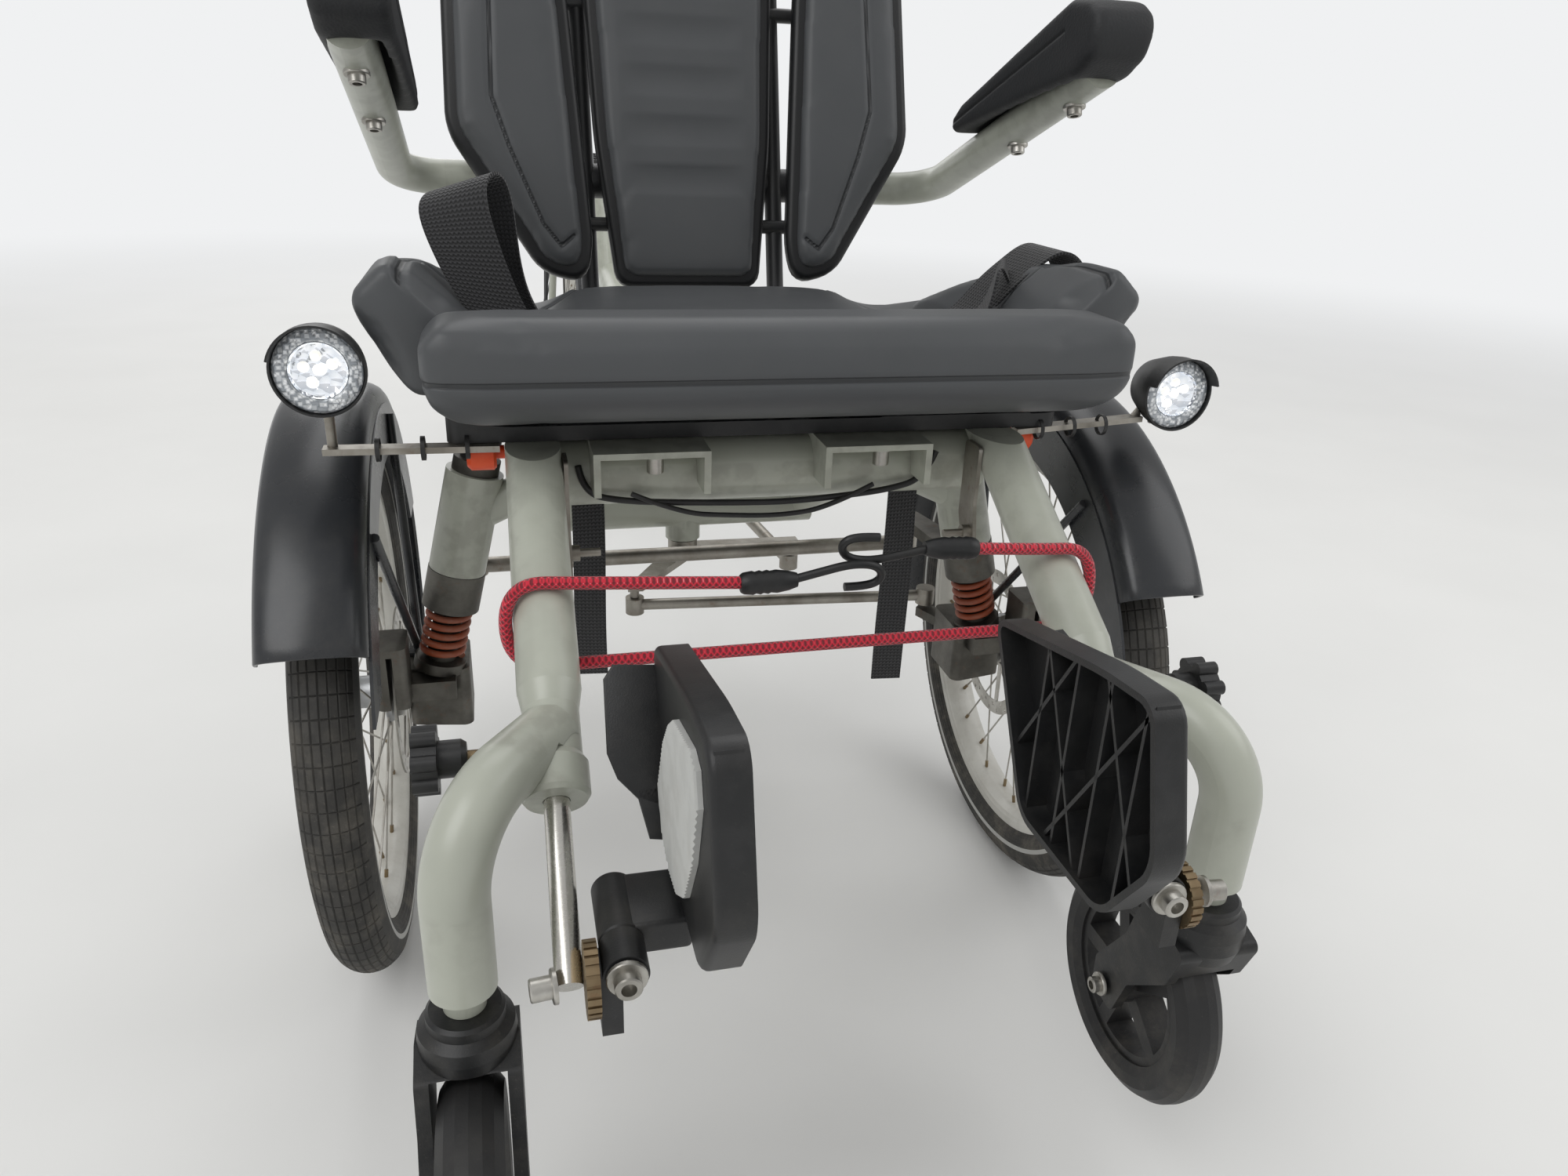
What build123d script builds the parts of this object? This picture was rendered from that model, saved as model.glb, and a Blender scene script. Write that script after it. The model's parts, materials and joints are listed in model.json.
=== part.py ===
# Front-passenger tricycle: a seat between two steered wheels, and a pedalled rear half.
# Millimetres. The passenger faces -Y, +X is the passenger's left, and z = 0 is the ground.
# Heights are from the ground, and every y in this file is counted from the front axle.
from build123d import *
from math import atan2, cos, radians, sin, sqrt, tan
import os

os.makedirs("parts", exist_ok=True)

# Overall layout
FRONT_AXLE_Y = -700.0
WHEEL_BASE = 1690.0
TRACK_HALF = 338.0
REAR_AXLE_Y = WHEEL_BASE
RUN_FIT = 0.05
SEAT_GAP = 0.3
SIDES = (("left", 1), ("right", -1))

# Front wheels, 55-406
FRONT_R = 252.5
FRONT_TYRE_W = 53.0
FRONT_RIM_R = 209.0
RIM_W = 36.0
RIM_DEPTH = 19.0
RIM_LIP = 4.0
SPOKE_D = 2.6
HUB_R = 17.0
HUB_FLANGE_R = 30.0
HUB_W = 66.0
AXLE_D = 15.0
DISC_R = 80.0
DISC_T = 2.0

# Rear wheel, 47-507
REAR_R = 300.0
REAR_TYRE_W = 47.0
REAR_RIM_R = 258.0
REAR_HUB_R = 44.0
REAR_HUB_FLANGE_R = 50.0
REAR_HUB_W = 92.0
REAR_AXLE_D = 10.0
DROPOUT_X = 68.0

# Kingpins: the axis leans in at the top and meets the ground under the tyre
KINGPIN_LEAN = 13.5
KINGPIN_X = 233.0
KINGPIN_Y = -30.0
KINGPIN_Z = 430.0
SLEEVE_D = 49.0
SLEEVE_L = 92.0
KINGPIN_D = 26.0
SPRING_D = 41.0
SPRING_WIRE = 6.0
SPRING_L = 52.0
SPRING_TURNS = 5.0
COLLAR_T = 36.0
ARM_T = 12.0
HUB_BLOCK_TOP = 290.0
TIE_Y = 100.0
TIE_X = 232.0
TIE_Z = 334.0
TIE_D = 16.0
EYE_D = 24.0
EYE_H = 18.0
FAR_GAP = 5.0
LUG_T = 10.0
JOINT_GAP = 0.8
DRAG_Y = 46.0
DRAG_X = 238.0
DRAG_Z = 292.0

# Mudguards of the front wheels
GUARD_R = 288.0
GUARD_W = 78.0
GUARD_T = 2.5
GUARD_STAY_D = 8.0
GUARD_FRONT = 33.0
GUARD_REAR = 195.0

# Legs and their telescopic rods
LEG_D = 39.0
LEG_TOP = (177.0, -178.0, 557.0)
LEG_FOOT = (182.0, -523.0, 348.0)
LEG_SLEEVE_END = 0.74
LEG_STEP = 0.56
LEG_LOWER_D = 34.0
STEP_L = 14.0
SLEEVE_RING_D = 40.0
SLEEVE_RING_L = 22.0
ROD_D = 15.0

# Frame tubes
FRONT_CROSS_D = 50.0
FRONT_CROSS_Y = -170.0
FRONT_CROSS_Z = 515.0
REAR_CROSS_D = 46.0
REAR_CROSS_Y = 220.0
REAR_CROSS_Z = 345.0
REAR_CROSS_HALF = 150.0
RAIL_D = 38.0
BEAM_D = 50.0
HEAD_LEAN = 17.0
HEAD_Y = 955.0
HEAD_Z = 470.0
HEAD_D = 58.0
HEAD_L = 165.0
BRACKET_Y = 1270.0
BRACKET_Z = 300.0
SEAT_TUBE_LEAN = 20.0
SEAT_TUBE_D = 34.0
SEAT_TUBE_TOP_Z = 640.0

# Passenger seat
PAD_FRONT_Y = -283.0
PAD_DEPTH = 72.0
PAD_W = 490.0
PAD_LOW_Z = 574.0
PAD_TOP_Z = 643.0
SHELL_LOW_Z = 545.0
CUSHION_REAR_Y = 120.0
CUSHION_TOP_Z = 606.0
SHELL_FRONT_Y = -190.0
WING_TOP_Z = 673.0
WING_OUT_X = 292.0
WING_RIDGE_X = 264.0
WING_IN_X = 196.0
WING_FRONT_Y = -208.0
WING_REAR_Y = 60.0

# Backrest
RECLINE = 15.0
CENTRE_LOW = (174.0, 600.0)
WING_LOW = (149.0, 605.0)
BACK_TOP_Z = 1130.0
PANEL_T = 26.0
BACK_BAR_D = 14.0

# Armrests
ARM_HINGE_Y = 250.0
ARM_HINGE_Z = 695.0
ARM_D = 34.0
ARM_SHAFT_D = 27.0
ARM_X = 282.0
ARM_END_Y = -100.0
ARM_END_Z = 812.0
PAD_HALF = 26.0

# Casters
CASTER_BLADE_T = 8.0
CASTER_X = 238.0
CASTER_Y = -476.0
CASTER_TOP_Z = 303.0
CASTER_R = 87.5
CASTER_W = 36.0
CASTER_TRAIL = 50.0
CASTER_AXLE_Z = 186.0
CASTER_ARM_D = 38.0
CASTER_ARM_Z = 426.0
CASTER_ARM_BEND = 52.0
CASTER_AXLE_D = 8.0
CROWN_H = 26.0

# Footplates, folded up at rest
FOLD_X = 154.0
FOLD_Z = 367.0
FOLD_FRONT_Y = -541.0
FOLD_REAR_Y = -470.0
FOLD_D = 24.0
FOLD_PIN_D = 8.0
PLATE_X = 120.0
PLATE_T = 20.0
PLATE_SKIN = 3.0
PLATE_RIM = 4.0
PLATE_CORNER = 12.0
RIB_T = 2.5
TREAD_T = 2.5
TREAD_RIDGE = 1.2
GUARD_REACH = 30.0
CLAMP_D = 40.0
CLAMP_T = 7.0
# Footplate outline: distance behind the fold pin's middle, height above the fold pin
PLATE_OUTLINE = [(112, 113), (-14, 141), (-64, 147), (-90, 64), (-52, 7), (48, 5)]
TREAD_OUTLINE = [(76, 100), (34, 113), (-22, 112), (-48, 92), (-42, 48), (-12, 17), (32, 44), (60, 74)]

# Steering column and its links
COLUMN_D = 28.0
COLUMN_ARM = 90.0
PITMAN_ARM_X = 130.0
PITMAN_TIP = (-69.0, 120.0)
PITMAN_Z = 296.0
BAR_Z = 1085.0
BAR_HALF = 310.0
GRIP_D = 33.0
BAR_D = 22.2

# Rear half
SADDLE_Z = 940.0
CRANK_L = 165.0
CRANK_X = 79.0
SPINDLE_D = 17.0


def at(x, y, z):
    """A point given from the front axle line, in the part's own frame."""
    return Vector(x, FRONT_AXLE_Y + y, z)


def along(start, end, share):
    """The point a share of the way from start to end."""
    return tuple(a + (b - a) * share for a, b in zip(start, end))


def end_plane(start, towards):
    """A plane at start that looks towards the other point."""
    return Plane(origin=start, z_dir=towards - start)


def rod(start, end, diameter, mode=Mode.ADD):
    """A straight round bar between two points."""
    length = (end - start).length
    with BuildSketch(end_plane(start, end)) as section:
        Circle(diameter / 2)
    extrude(section.sketch, amount=length, mode=mode)


def bent_tube(points, diameter, bends, mode=Mode.ADD):
    """A round tube along straight runs that are joined by bends of the given radius."""
    with BuildLine() as path:
        FilletPolyline(*points, radius=bends)
    with BuildSketch(end_plane(points[0], points[1])) as section:
        Circle(diameter / 2)
    sweep(section.sketch, path=path.line, mode=mode)


def slab(outline, plane, thickness, corner=0.0, mode=Mode.ADD):
    """A flat plate from a closed outline, with its corners rounded."""
    with BuildSketch(plane) as face:
        with BuildLine():
            Polyline(*outline, close=True)
        make_face()
        if corner:
            fillet(face.vertices(), corner)
    extrude(face.sketch, amount=thickness, mode=mode)


def ribbon(path, plane, width, thickness):
    """A flat band along a path drawn in the plane, its width across the plane."""
    ahead, back = [], []
    for number, (u, v) in enumerate(path):
        before = Vector(*path[max(number - 1, 0)])
        after = Vector(*path[min(number + 1, len(path) - 1)])
        run = (after - before).normalized()
        ahead.append((u - run.Y * thickness / 2, v + run.X * thickness / 2))
        back.append((u + run.Y * thickness / 2, v - run.X * thickness / 2))
    with BuildSketch(plane) as band:
        with BuildLine():
            Polyline(*ahead, *reversed(back), close=True)
        make_face()
    extrude(band.sketch, amount=width / 2, both=True)


def route(points, diameter):
    """A cable's tube: straight runs with arcs as large as the runs allow."""
    radii = []
    for before, here, after in zip(points, points[1:], points[2:]):
        turn = radians((here - before).get_angle(after - here))
        radii.append(0.45 * min((here - before).length, (after - here).length) / tan(turn / 2))
    with BuildLine() as path:
        FilletPolyline(*points, radius=radii)
    with BuildSketch(end_plane(points[0], points[1])) as section:
        Circle(diameter / 2)
    sweep(section.sketch, path=path.line)


def kingpin_plane(side):
    """Local frame of one kingpin: origin in the sleeve's middle, z up along the pin."""
    lean = radians(KINGPIN_LEAN)
    return Plane(
        origin=at(side * KINGPIN_X, KINGPIN_Y, KINGPIN_Z),
        x_dir=(cos(lean), 0, side * sin(lean)),
        z_dir=(-side * sin(lean), 0, cos(lean)),
    )


def kingpin_x(height):
    """How far out the kingpin's axis lies at a height."""
    return KINGPIN_X + (KINGPIN_Z - height) * tan(radians(KINGPIN_LEAN))


def axle_plane(side, y, z, x):
    """A plane on a wheel's axis that looks outwards."""
    return Plane(origin=at(side * x, y, z), x_dir=(0, side, 0), z_dir=(side, 0, 0))


def finish(builder, label):
    """Label a finished piece and write it."""
    builder.part.label = label
    export_step(builder.part, f"parts/{label}.step")


def turn_about(axis_plane, profile, arc=360.0, mode=Mode.ADD):
    """Revolve a closed (radius, along) profile about a plane's z axis."""
    side_plane = Plane(origin=axis_plane.origin, x_dir=axis_plane.x_dir, z_dir=-axis_plane.y_dir)
    with BuildSketch(side_plane) as section:
        with BuildLine():
            Polyline(*profile, close=True)
        make_face()
    revolve(section.sketch, Axis(axis_plane.origin, axis_plane.z_dir), arc, mode=mode)


def tyre(label, plane, outer_r, width, rim_r):
    """A tyre: a round carcass that ends in two beads on the rim."""
    with BuildPart() as made:
        side_plane = Plane(origin=plane.origin, x_dir=plane.x_dir, z_dir=-plane.y_dir)
        with BuildSketch(side_plane) as section:
            with Locations((outer_r - width / 2, 0)):
                Circle(width / 2)
            bead = rim_r + SEAT_GAP
            with Locations((bead - width, 0)):
                Rectangle(width * 2, width * 2, mode=Mode.SUBTRACT)
        revolve(section.sketch, Axis(plane.origin, plane.z_dir))
    finish(made, label)


def spoked_wheel(made_on, rim_r, flange_r, hub_r, hub_w, bore_d, spokes):
    """Rim, crossed spokes and hub, in the current part."""
    inner = rim_r - RIM_DEPTH
    half = RIM_W / 2
    turn_about(made_on, [
        (rim_r, -half), (rim_r, -half + RIM_LIP), (rim_r - 6, -half + 8), (rim_r - 6, half - 8),
        (rim_r, half - RIM_LIP), (rim_r, half), (inner + 4, half), (inner, 8),
        (inner, -8), (inner + 4, -half),
    ])
    flange = hub_w / 2 - 12
    turn_about(made_on, [
        (bore_d / 2, -hub_w / 2), (hub_r, -hub_w / 2), (hub_r, -flange - 3), (flange_r, -flange - 3),
        (flange_r, -flange), (hub_r, -flange), (hub_r, flange), (flange_r, flange),
        (flange_r, flange + 3), (hub_r, flange + 3), (hub_r, hub_w / 2), (bore_d / 2, hub_w / 2),
    ])
    step = 360.0 / spokes
    lean = 58.0
    spokes_made = []
    for number in range(spokes):
        out = -1 if number % 2 else 1
        sweep_back = lean if number % 4 < 2 else -lean
        at_rim = radians(number * step)
        at_hub = radians(number * step + sweep_back)
        low = Vector((flange_r - 4) * cos(at_hub), (flange_r - 4) * sin(at_hub), out * (flange + 1))
        high = Vector((inner + 3) * cos(at_rim), (inner + 3) * sin(at_rim), 0)
        start = made_on.from_local_coords(low)
        end = made_on.from_local_coords(high)
        with BuildSketch(end_plane(start, end)) as section:
            RegularPolygon(SPOKE_D / 2, 6)
        spokes_made.append(extrude(section.sketch, amount=(end - start).length, mode=Mode.PRIVATE))
    add(spokes_made)


# Front wheels, each with its brake disc on the inner side of the hub
for word, side in SIDES:
    wheel_plane = axle_plane(side, 0, FRONT_R, TRACK_HALF)
    tyre(f"front_tyre_{word}", wheel_plane, FRONT_R, FRONT_TYRE_W, FRONT_RIM_R)
    with BuildPart() as front_wheel:
        spoked_wheel(wheel_plane, FRONT_RIM_R, HUB_FLANGE_R, HUB_R, HUB_W,
                     AXLE_D + 2 * RUN_FIT, 20)
        disc_plane = wheel_plane.offset(-HUB_W / 2 - DISC_T)
        with BuildSketch(disc_plane) as disc_face:
            Circle(DISC_R)
            Circle(DISC_R - 15, mode=Mode.SUBTRACT)
            with PolarLocations((DISC_R + 8) / 2, 6):
                Rectangle(DISC_R - 28, 9)
            Circle(24)
            Circle(AXLE_D / 2 + RUN_FIT, mode=Mode.SUBTRACT)
        extrude(disc_face.sketch, amount=DISC_T)
    finish(front_wheel, f"front_wheel_{word}")

# Knuckles: kingpin, collar with the steering arm, hub carrier with the stub axle, caliper
COLLAR_LOW = -SLEEVE_L / 2 - SEAT_GAP - COLLAR_T
SPRING_LOW = COLLAR_LOW - SPRING_L
ARM_LOW_Z = TIE_Z + EYE_H / 2 + 13
for word, side in SIDES:
    pin_plane = kingpin_plane(side)
    with BuildPart() as knuckle:
        with BuildSketch(pin_plane.offset(SPRING_LOW - 4)) as pin:
            Circle(KINGPIN_D / 2)
        extrude(pin.sketch, amount=SLEEVE_L / 2 + 14 - SPRING_LOW)
        with BuildSketch(pin_plane.offset(SLEEVE_L / 2 + SEAT_GAP)) as nut:
            Circle(20)
        extrude(nut.sketch, amount=12)
        with BuildSketch(pin_plane.offset(COLLAR_LOW)) as collar:
            Circle(25)
        extrude(collar.sketch, amount=COLLAR_T)
        # Steering arm, from the collar back to the tie rod's joint
        root_x = kingpin_x(ARM_LOW_Z)
        arm_plane = Plane(origin=at(0, 0, ARM_LOW_Z))
        arm_face = [
            (side * (root_x - 18), KINGPIN_Y + 5), (side * (TIE_X - 11), TIE_Y),
            (side * (TIE_X - 6), TIE_Y + 11), (side * (TIE_X + 6), TIE_Y + 11),
            (side * (TIE_X + 11), TIE_Y), (side * (root_x + 18), KINGPIN_Y + 5),
        ]
        slab(arm_face, arm_plane, ARM_T)
        rod(at(side * TIE_X, TIE_Y, ARM_LOW_Z + 1),
            at(side * TIE_X, TIE_Y, TIE_Z + EYE_H / 2 + (JOINT_GAP if side > 0 else FAR_GAP)), 9)
        # Hub carrier and stub axle
        carrier_out = TRACK_HALF - HUB_W / 2 - DISC_T - 7
        with BuildSketch(pin_plane.offset(SPRING_LOW - 10)) as seat:
            Circle(23)
        extrude(seat.sketch, amount=10)
        carrier_plane = Plane(origin=at(0, 0, 232))
        slab([(side * (KINGPIN_X + 7), -44), (side * carrier_out, -34), (side * carrier_out, 24),
              (side * (KINGPIN_X + 7), 24)], carrier_plane, HUB_BLOCK_TOP - 232, corner=8)
        hub_in = TRACK_HALF - HUB_W / 2 - DISC_T - 1
        rod(at(side * (carrier_out - 6), 0, FRONT_R), at(side * hub_in, 0, FRONT_R), 30)
        rod(at(side * (carrier_out - 6), 0, FRONT_R),
            at(side * (TRACK_HALF + HUB_W / 2 + 6), 0, FRONT_R), AXLE_D)
        rod(at(side * (TRACK_HALF + HUB_W / 2 + 1), 0, FRONT_R),
            at(side * (TRACK_HALF + HUB_W / 2 + 11), 0, FRONT_R), 26)
        # Brake caliper, a block with a slot for the disc
        disc_x = TRACK_HALF - HUB_W / 2 - DISC_T / 2
        with BuildSketch(Plane(origin=at(side * disc_x, -62, 276))) as caliper:
            Rectangle(28, 44)
            fillet(caliper.vertices(), 6)
        extrude(caliper.sketch, amount=58)
        with BuildSketch(Plane(origin=at(side * disc_x, -62, 270))) as slot:
            Rectangle(DISC_T + 3, 60)
        extrude(slot.sketch, amount=57, mode=Mode.SUBTRACT)
        slab([(side * (KINGPIN_X + 19), -60), (side * (disc_x - 10), -60), (side * (disc_x - 10), -30),
              (side * (KINGPIN_X + 19), -30)], Plane(origin=at(0, 0, 270)), 18)
        if side > 0:
            # Rear lug for the drag link, on one side only
            slab([(side * (DRAG_X + 4), 14), (side * (DRAG_X - 9), DRAG_Y), (side * DRAG_X, DRAG_Y + 10),
                  (side * (DRAG_X + 10), DRAG_Y), (side * (DRAG_X + 34), 14)],
                 Plane(origin=at(0, 0, DRAG_Z - EYE_H / 2 - FAR_GAP - LUG_T)), LUG_T)
    finish(knuckle, f"knuckle_{word}")

    with BuildPart() as spring:
        gap = SEAT_GAP
        with BuildLine() as coil:
            Helix(SPRING_L / (SPRING_TURNS + 1), SPRING_L - SPRING_WIRE - 2 * gap,
                  SPRING_D / 2 - SPRING_WIRE / 2)
        with BuildSketch(Plane(origin=coil.line @ 0, z_dir=coil.line % 0)) as wire:
            Circle(SPRING_WIRE / 2)
        sweep(wire.sketch, path=coil.line, is_frenet=True)
        moved = pin_plane.offset(SPRING_LOW + SPRING_WIRE / 2 + gap)
    spring.part = moved.from_local_coords(spring.part)
    finish(spring, f"spring_{word}")

# Front mudguards: a creased band over the wheel, an inner skirt and two stays
for word, side in SIDES:
    hoop_plane = axle_plane(side, 0, FRONT_R, TRACK_HALF)
    half = GUARD_W / 2
    band = [(-half, -22), (-half + 5, -6), (-20, -1), (0, 2), (20, -1), (half - 5, -6), (half, -22)]
    with BuildPart() as mudguard:
        outer = [(GUARD_R + r, x) for x, r in band]
        inner = [(GUARD_R + r - GUARD_T, x * (1 - 2 * GUARD_T / GUARD_W)) for x, r in reversed(band)]
        start_plane = Plane(
            origin=hoop_plane.origin,
            x_dir=(0, -cos(radians(GUARD_FRONT)), sin(radians(GUARD_FRONT))),
            z_dir=Vector(0, -sin(radians(GUARD_FRONT)), -cos(radians(GUARD_FRONT))),
        )
        with BuildSketch(start_plane) as section:
            with BuildLine():
                Polyline(*[(r, x) for r, x in outer + inner], close=True)
            make_face()
        revolve(section.sketch, Axis(hoop_plane.origin, (1, 0, 0)), -(GUARD_REAR - GUARD_FRONT))
        # Inner skirt, a flat panel under the band's inner edge
        skirt_x = TRACK_HALF - half + 0.2
        skirt_plane = Plane(origin=at(side * skirt_x, 0, FRONT_R), x_dir=(0, 1, 0), z_dir=(1, 0, 0))
        with BuildSketch(skirt_plane) as skirt:
            Circle(GUARD_R - 20)
            Circle(222, mode=Mode.SUBTRACT)
            with Locations((0, -GUARD_R * 1.2)):
                Rectangle(3 * GUARD_R, GUARD_R * 3.1, mode=Mode.SUBTRACT)
        extrude(skirt.sketch, amount=GUARD_T / 2, both=True)
        # Flat strut and round stay down to the hub carrier
        strut_x = skirt_x - 3
        foot_z = HUB_BLOCK_TOP + SEAT_GAP
        foot_x = TRACK_HALF - HUB_W / 2 - DISC_T - 17
        slab([(side * (foot_x - 12), -10), (side * (foot_x + 9), -10), (side * (foot_x + 9), 22),
              (side * (foot_x - 12), 22)], Plane(origin=at(0, 0, foot_z)), 4)
        for foot_y, top_y in ((0, -150), (12, 60)):
            top_z = FRONT_R + sqrt((GUARD_R - 30) ** 2 - top_y ** 2)
            rod(at(side * foot_x, foot_y, foot_z + 3), at(side * strut_x, top_y, top_z), GUARD_STAY_D)
    finish(mudguard, f"mudguard_{word}")

# Front frame: cross tubes, legs with stepped sleeves, side rails and kingpin sleeves
with BuildPart() as front_frame:
    rod(at(-LEG_TOP[0], FRONT_CROSS_Y, FRONT_CROSS_Z),
        at(LEG_TOP[0], FRONT_CROSS_Y, FRONT_CROSS_Z), FRONT_CROSS_D)
    rod(at(-REAR_CROSS_HALF, REAR_CROSS_Y, REAR_CROSS_Z),
        at(REAR_CROSS_HALF, REAR_CROSS_Y, REAR_CROSS_Z), REAR_CROSS_D)
    rod(at(0, REAR_CROSS_Y, REAR_CROSS_Z), at(0, REAR_CROSS_Y, PITMAN_Z + 12), 40)
    for word, side in SIDES:
        top = (side * LEG_TOP[0], LEG_TOP[1], LEG_TOP[2])
        foot = (side * LEG_FOOT[0], LEG_FOOT[1], LEG_FOOT[2])
        step = along(top, foot, LEG_STEP)
        low = along(top, foot, LEG_SLEEVE_END)
        rod(at(*top), at(*step), LEG_D)
        rod(at(*step), at(*low), LEG_LOWER_D)
        # The step is a short cone, and the sleeve ends in a split ring
        down = (at(*low) - at(*step)).normalized()
        taper_plane = Plane(origin=at(*step), x_dir=(1, 0, 0), z_dir=down)
        turn_about(taper_plane, [(0, 0), (LEG_D / 2, 0), (LEG_LOWER_D / 2, STEP_L), (0, STEP_L)])
        ring_plane = Plane(origin=at(*low), x_dir=(1, 0, 0), z_dir=-down)
        turn_about(ring_plane, [(0, 0), (SLEEVE_RING_D / 2 - 2, 0), (SLEEVE_RING_D / 2, 3),
                                (SLEEVE_RING_D / 2, SLEEVE_RING_L), (LEG_LOWER_D / 2, SLEEVE_RING_L + 5),
                                (0, SLEEVE_RING_L + 5)])
        bent_tube([at(side * 172, FRONT_CROSS_Y + 4, FRONT_CROSS_Z), at(side * 165, 20, 455),
                   at(side * 140, REAR_CROSS_Y, REAR_CROSS_Z)], RAIL_D, 120)
        with BuildSketch(kingpin_plane(side).offset(-SLEEVE_L / 2)) as sleeve:
            Circle(SLEEVE_D / 2)
        extrude(sleeve.sketch, amount=SLEEVE_L)
        rod(at(side * 168, KINGPIN_Y, 462), at(side * KINGPIN_X, KINGPIN_Y, 432), 32)
    for word, side in SIDES:
        top = (side * LEG_TOP[0], LEG_TOP[1], LEG_TOP[2])
        foot = (side * LEG_FOOT[0], LEG_FOOT[1], LEG_FOOT[2])
        low = along(top, foot, LEG_SLEEVE_END)
        rod(at(*along(top, foot, 0.30)), at(*low), ROD_D + 2 * SEAT_GAP, mode=Mode.SUBTRACT)
        with BuildSketch(kingpin_plane(side).offset(-SLEEVE_L)) as bore:
            Circle(KINGPIN_D / 2 + RUN_FIT)
        extrude(bore.sketch, amount=2 * SLEEVE_L, mode=Mode.SUBTRACT)
    # The legs end flush under the seat
    with BuildSketch(Plane(origin=at(0, LEG_TOP[1], SHELL_LOW_Z - SEAT_GAP))) as above:
        Rectangle(500, 200)
    extrude(above.sketch, amount=80, mode=Mode.SUBTRACT)
    # Bore for the central steering shaft
    rod(at(0, REAR_CROSS_Y, PITMAN_Z), at(0, REAR_CROSS_Y, REAR_CROSS_Z + 12),
        20 + 2 * RUN_FIT, mode=Mode.SUBTRACT)
finish(front_frame, "front_frame")

with BuildPart() as leg_rods:
    for word, side in SIDES:
        top = (side * LEG_TOP[0], LEG_TOP[1], LEG_TOP[2])
        foot = (side * LEG_FOOT[0], LEG_FOOT[1], LEG_FOOT[2])
        rod(at(*along(top, foot, 0.32)), at(*foot), ROD_D)
finish(leg_rods, "leg_rods")

# Caster arms: bent tubes that leave the legs' outer sides and turn down to the casters
def caster_arm(side, diameter, mode=Mode.ADD):
    share = (LEG_TOP[2] - CASTER_ARM_Z) / (LEG_TOP[2] - LEG_FOOT[2])
    leg_x, leg_y, leg_z = along(LEG_TOP, LEG_FOOT, share)
    bent_tube([at(side * leg_x, leg_y, leg_z), at(side * CASTER_X, CASTER_Y, CASTER_ARM_Z),
               at(side * CASTER_X, CASTER_Y, CASTER_TOP_Z + 14)], diameter, CASTER_ARM_BEND, mode=mode)


with BuildPart() as caster_arms:
    for word, side in SIDES:
        caster_arm(side, CASTER_ARM_D)
        rod(at(side * CASTER_X, CASTER_Y, CASTER_TOP_Z + 14.5),
            at(side * CASTER_X, CASTER_Y, CASTER_TOP_Z + SEAT_GAP), 24)
        # Each arm is coped to the leg: its upper sleeve and cone, its lower sleeve and the split ring
        top = (side * LEG_TOP[0], LEG_TOP[1], LEG_TOP[2])
        foot = (side * LEG_FOOT[0], LEG_FOOT[1], LEG_FOOT[2])
        leg_run = (at(*foot) - at(*top)).length
        low = along(top, foot, LEG_SLEEVE_END)
        cone_end = along(top, foot, LEG_STEP + STEP_L / leg_run)
        ring_top = along(top, foot, LEG_SLEEVE_END - (SLEEVE_RING_L + 5) / leg_run)
        rod(at(*top), at(*cone_end), LEG_D + 2 * SEAT_GAP, mode=Mode.SUBTRACT)
        rod(at(*cone_end), at(*foot), LEG_LOWER_D + 2 * SEAT_GAP, mode=Mode.SUBTRACT)
        rod(at(*ring_top), at(*low), SLEEVE_RING_D + 2 * SEAT_GAP, mode=Mode.SUBTRACT)
finish(caster_arms, "caster_arms")

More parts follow.
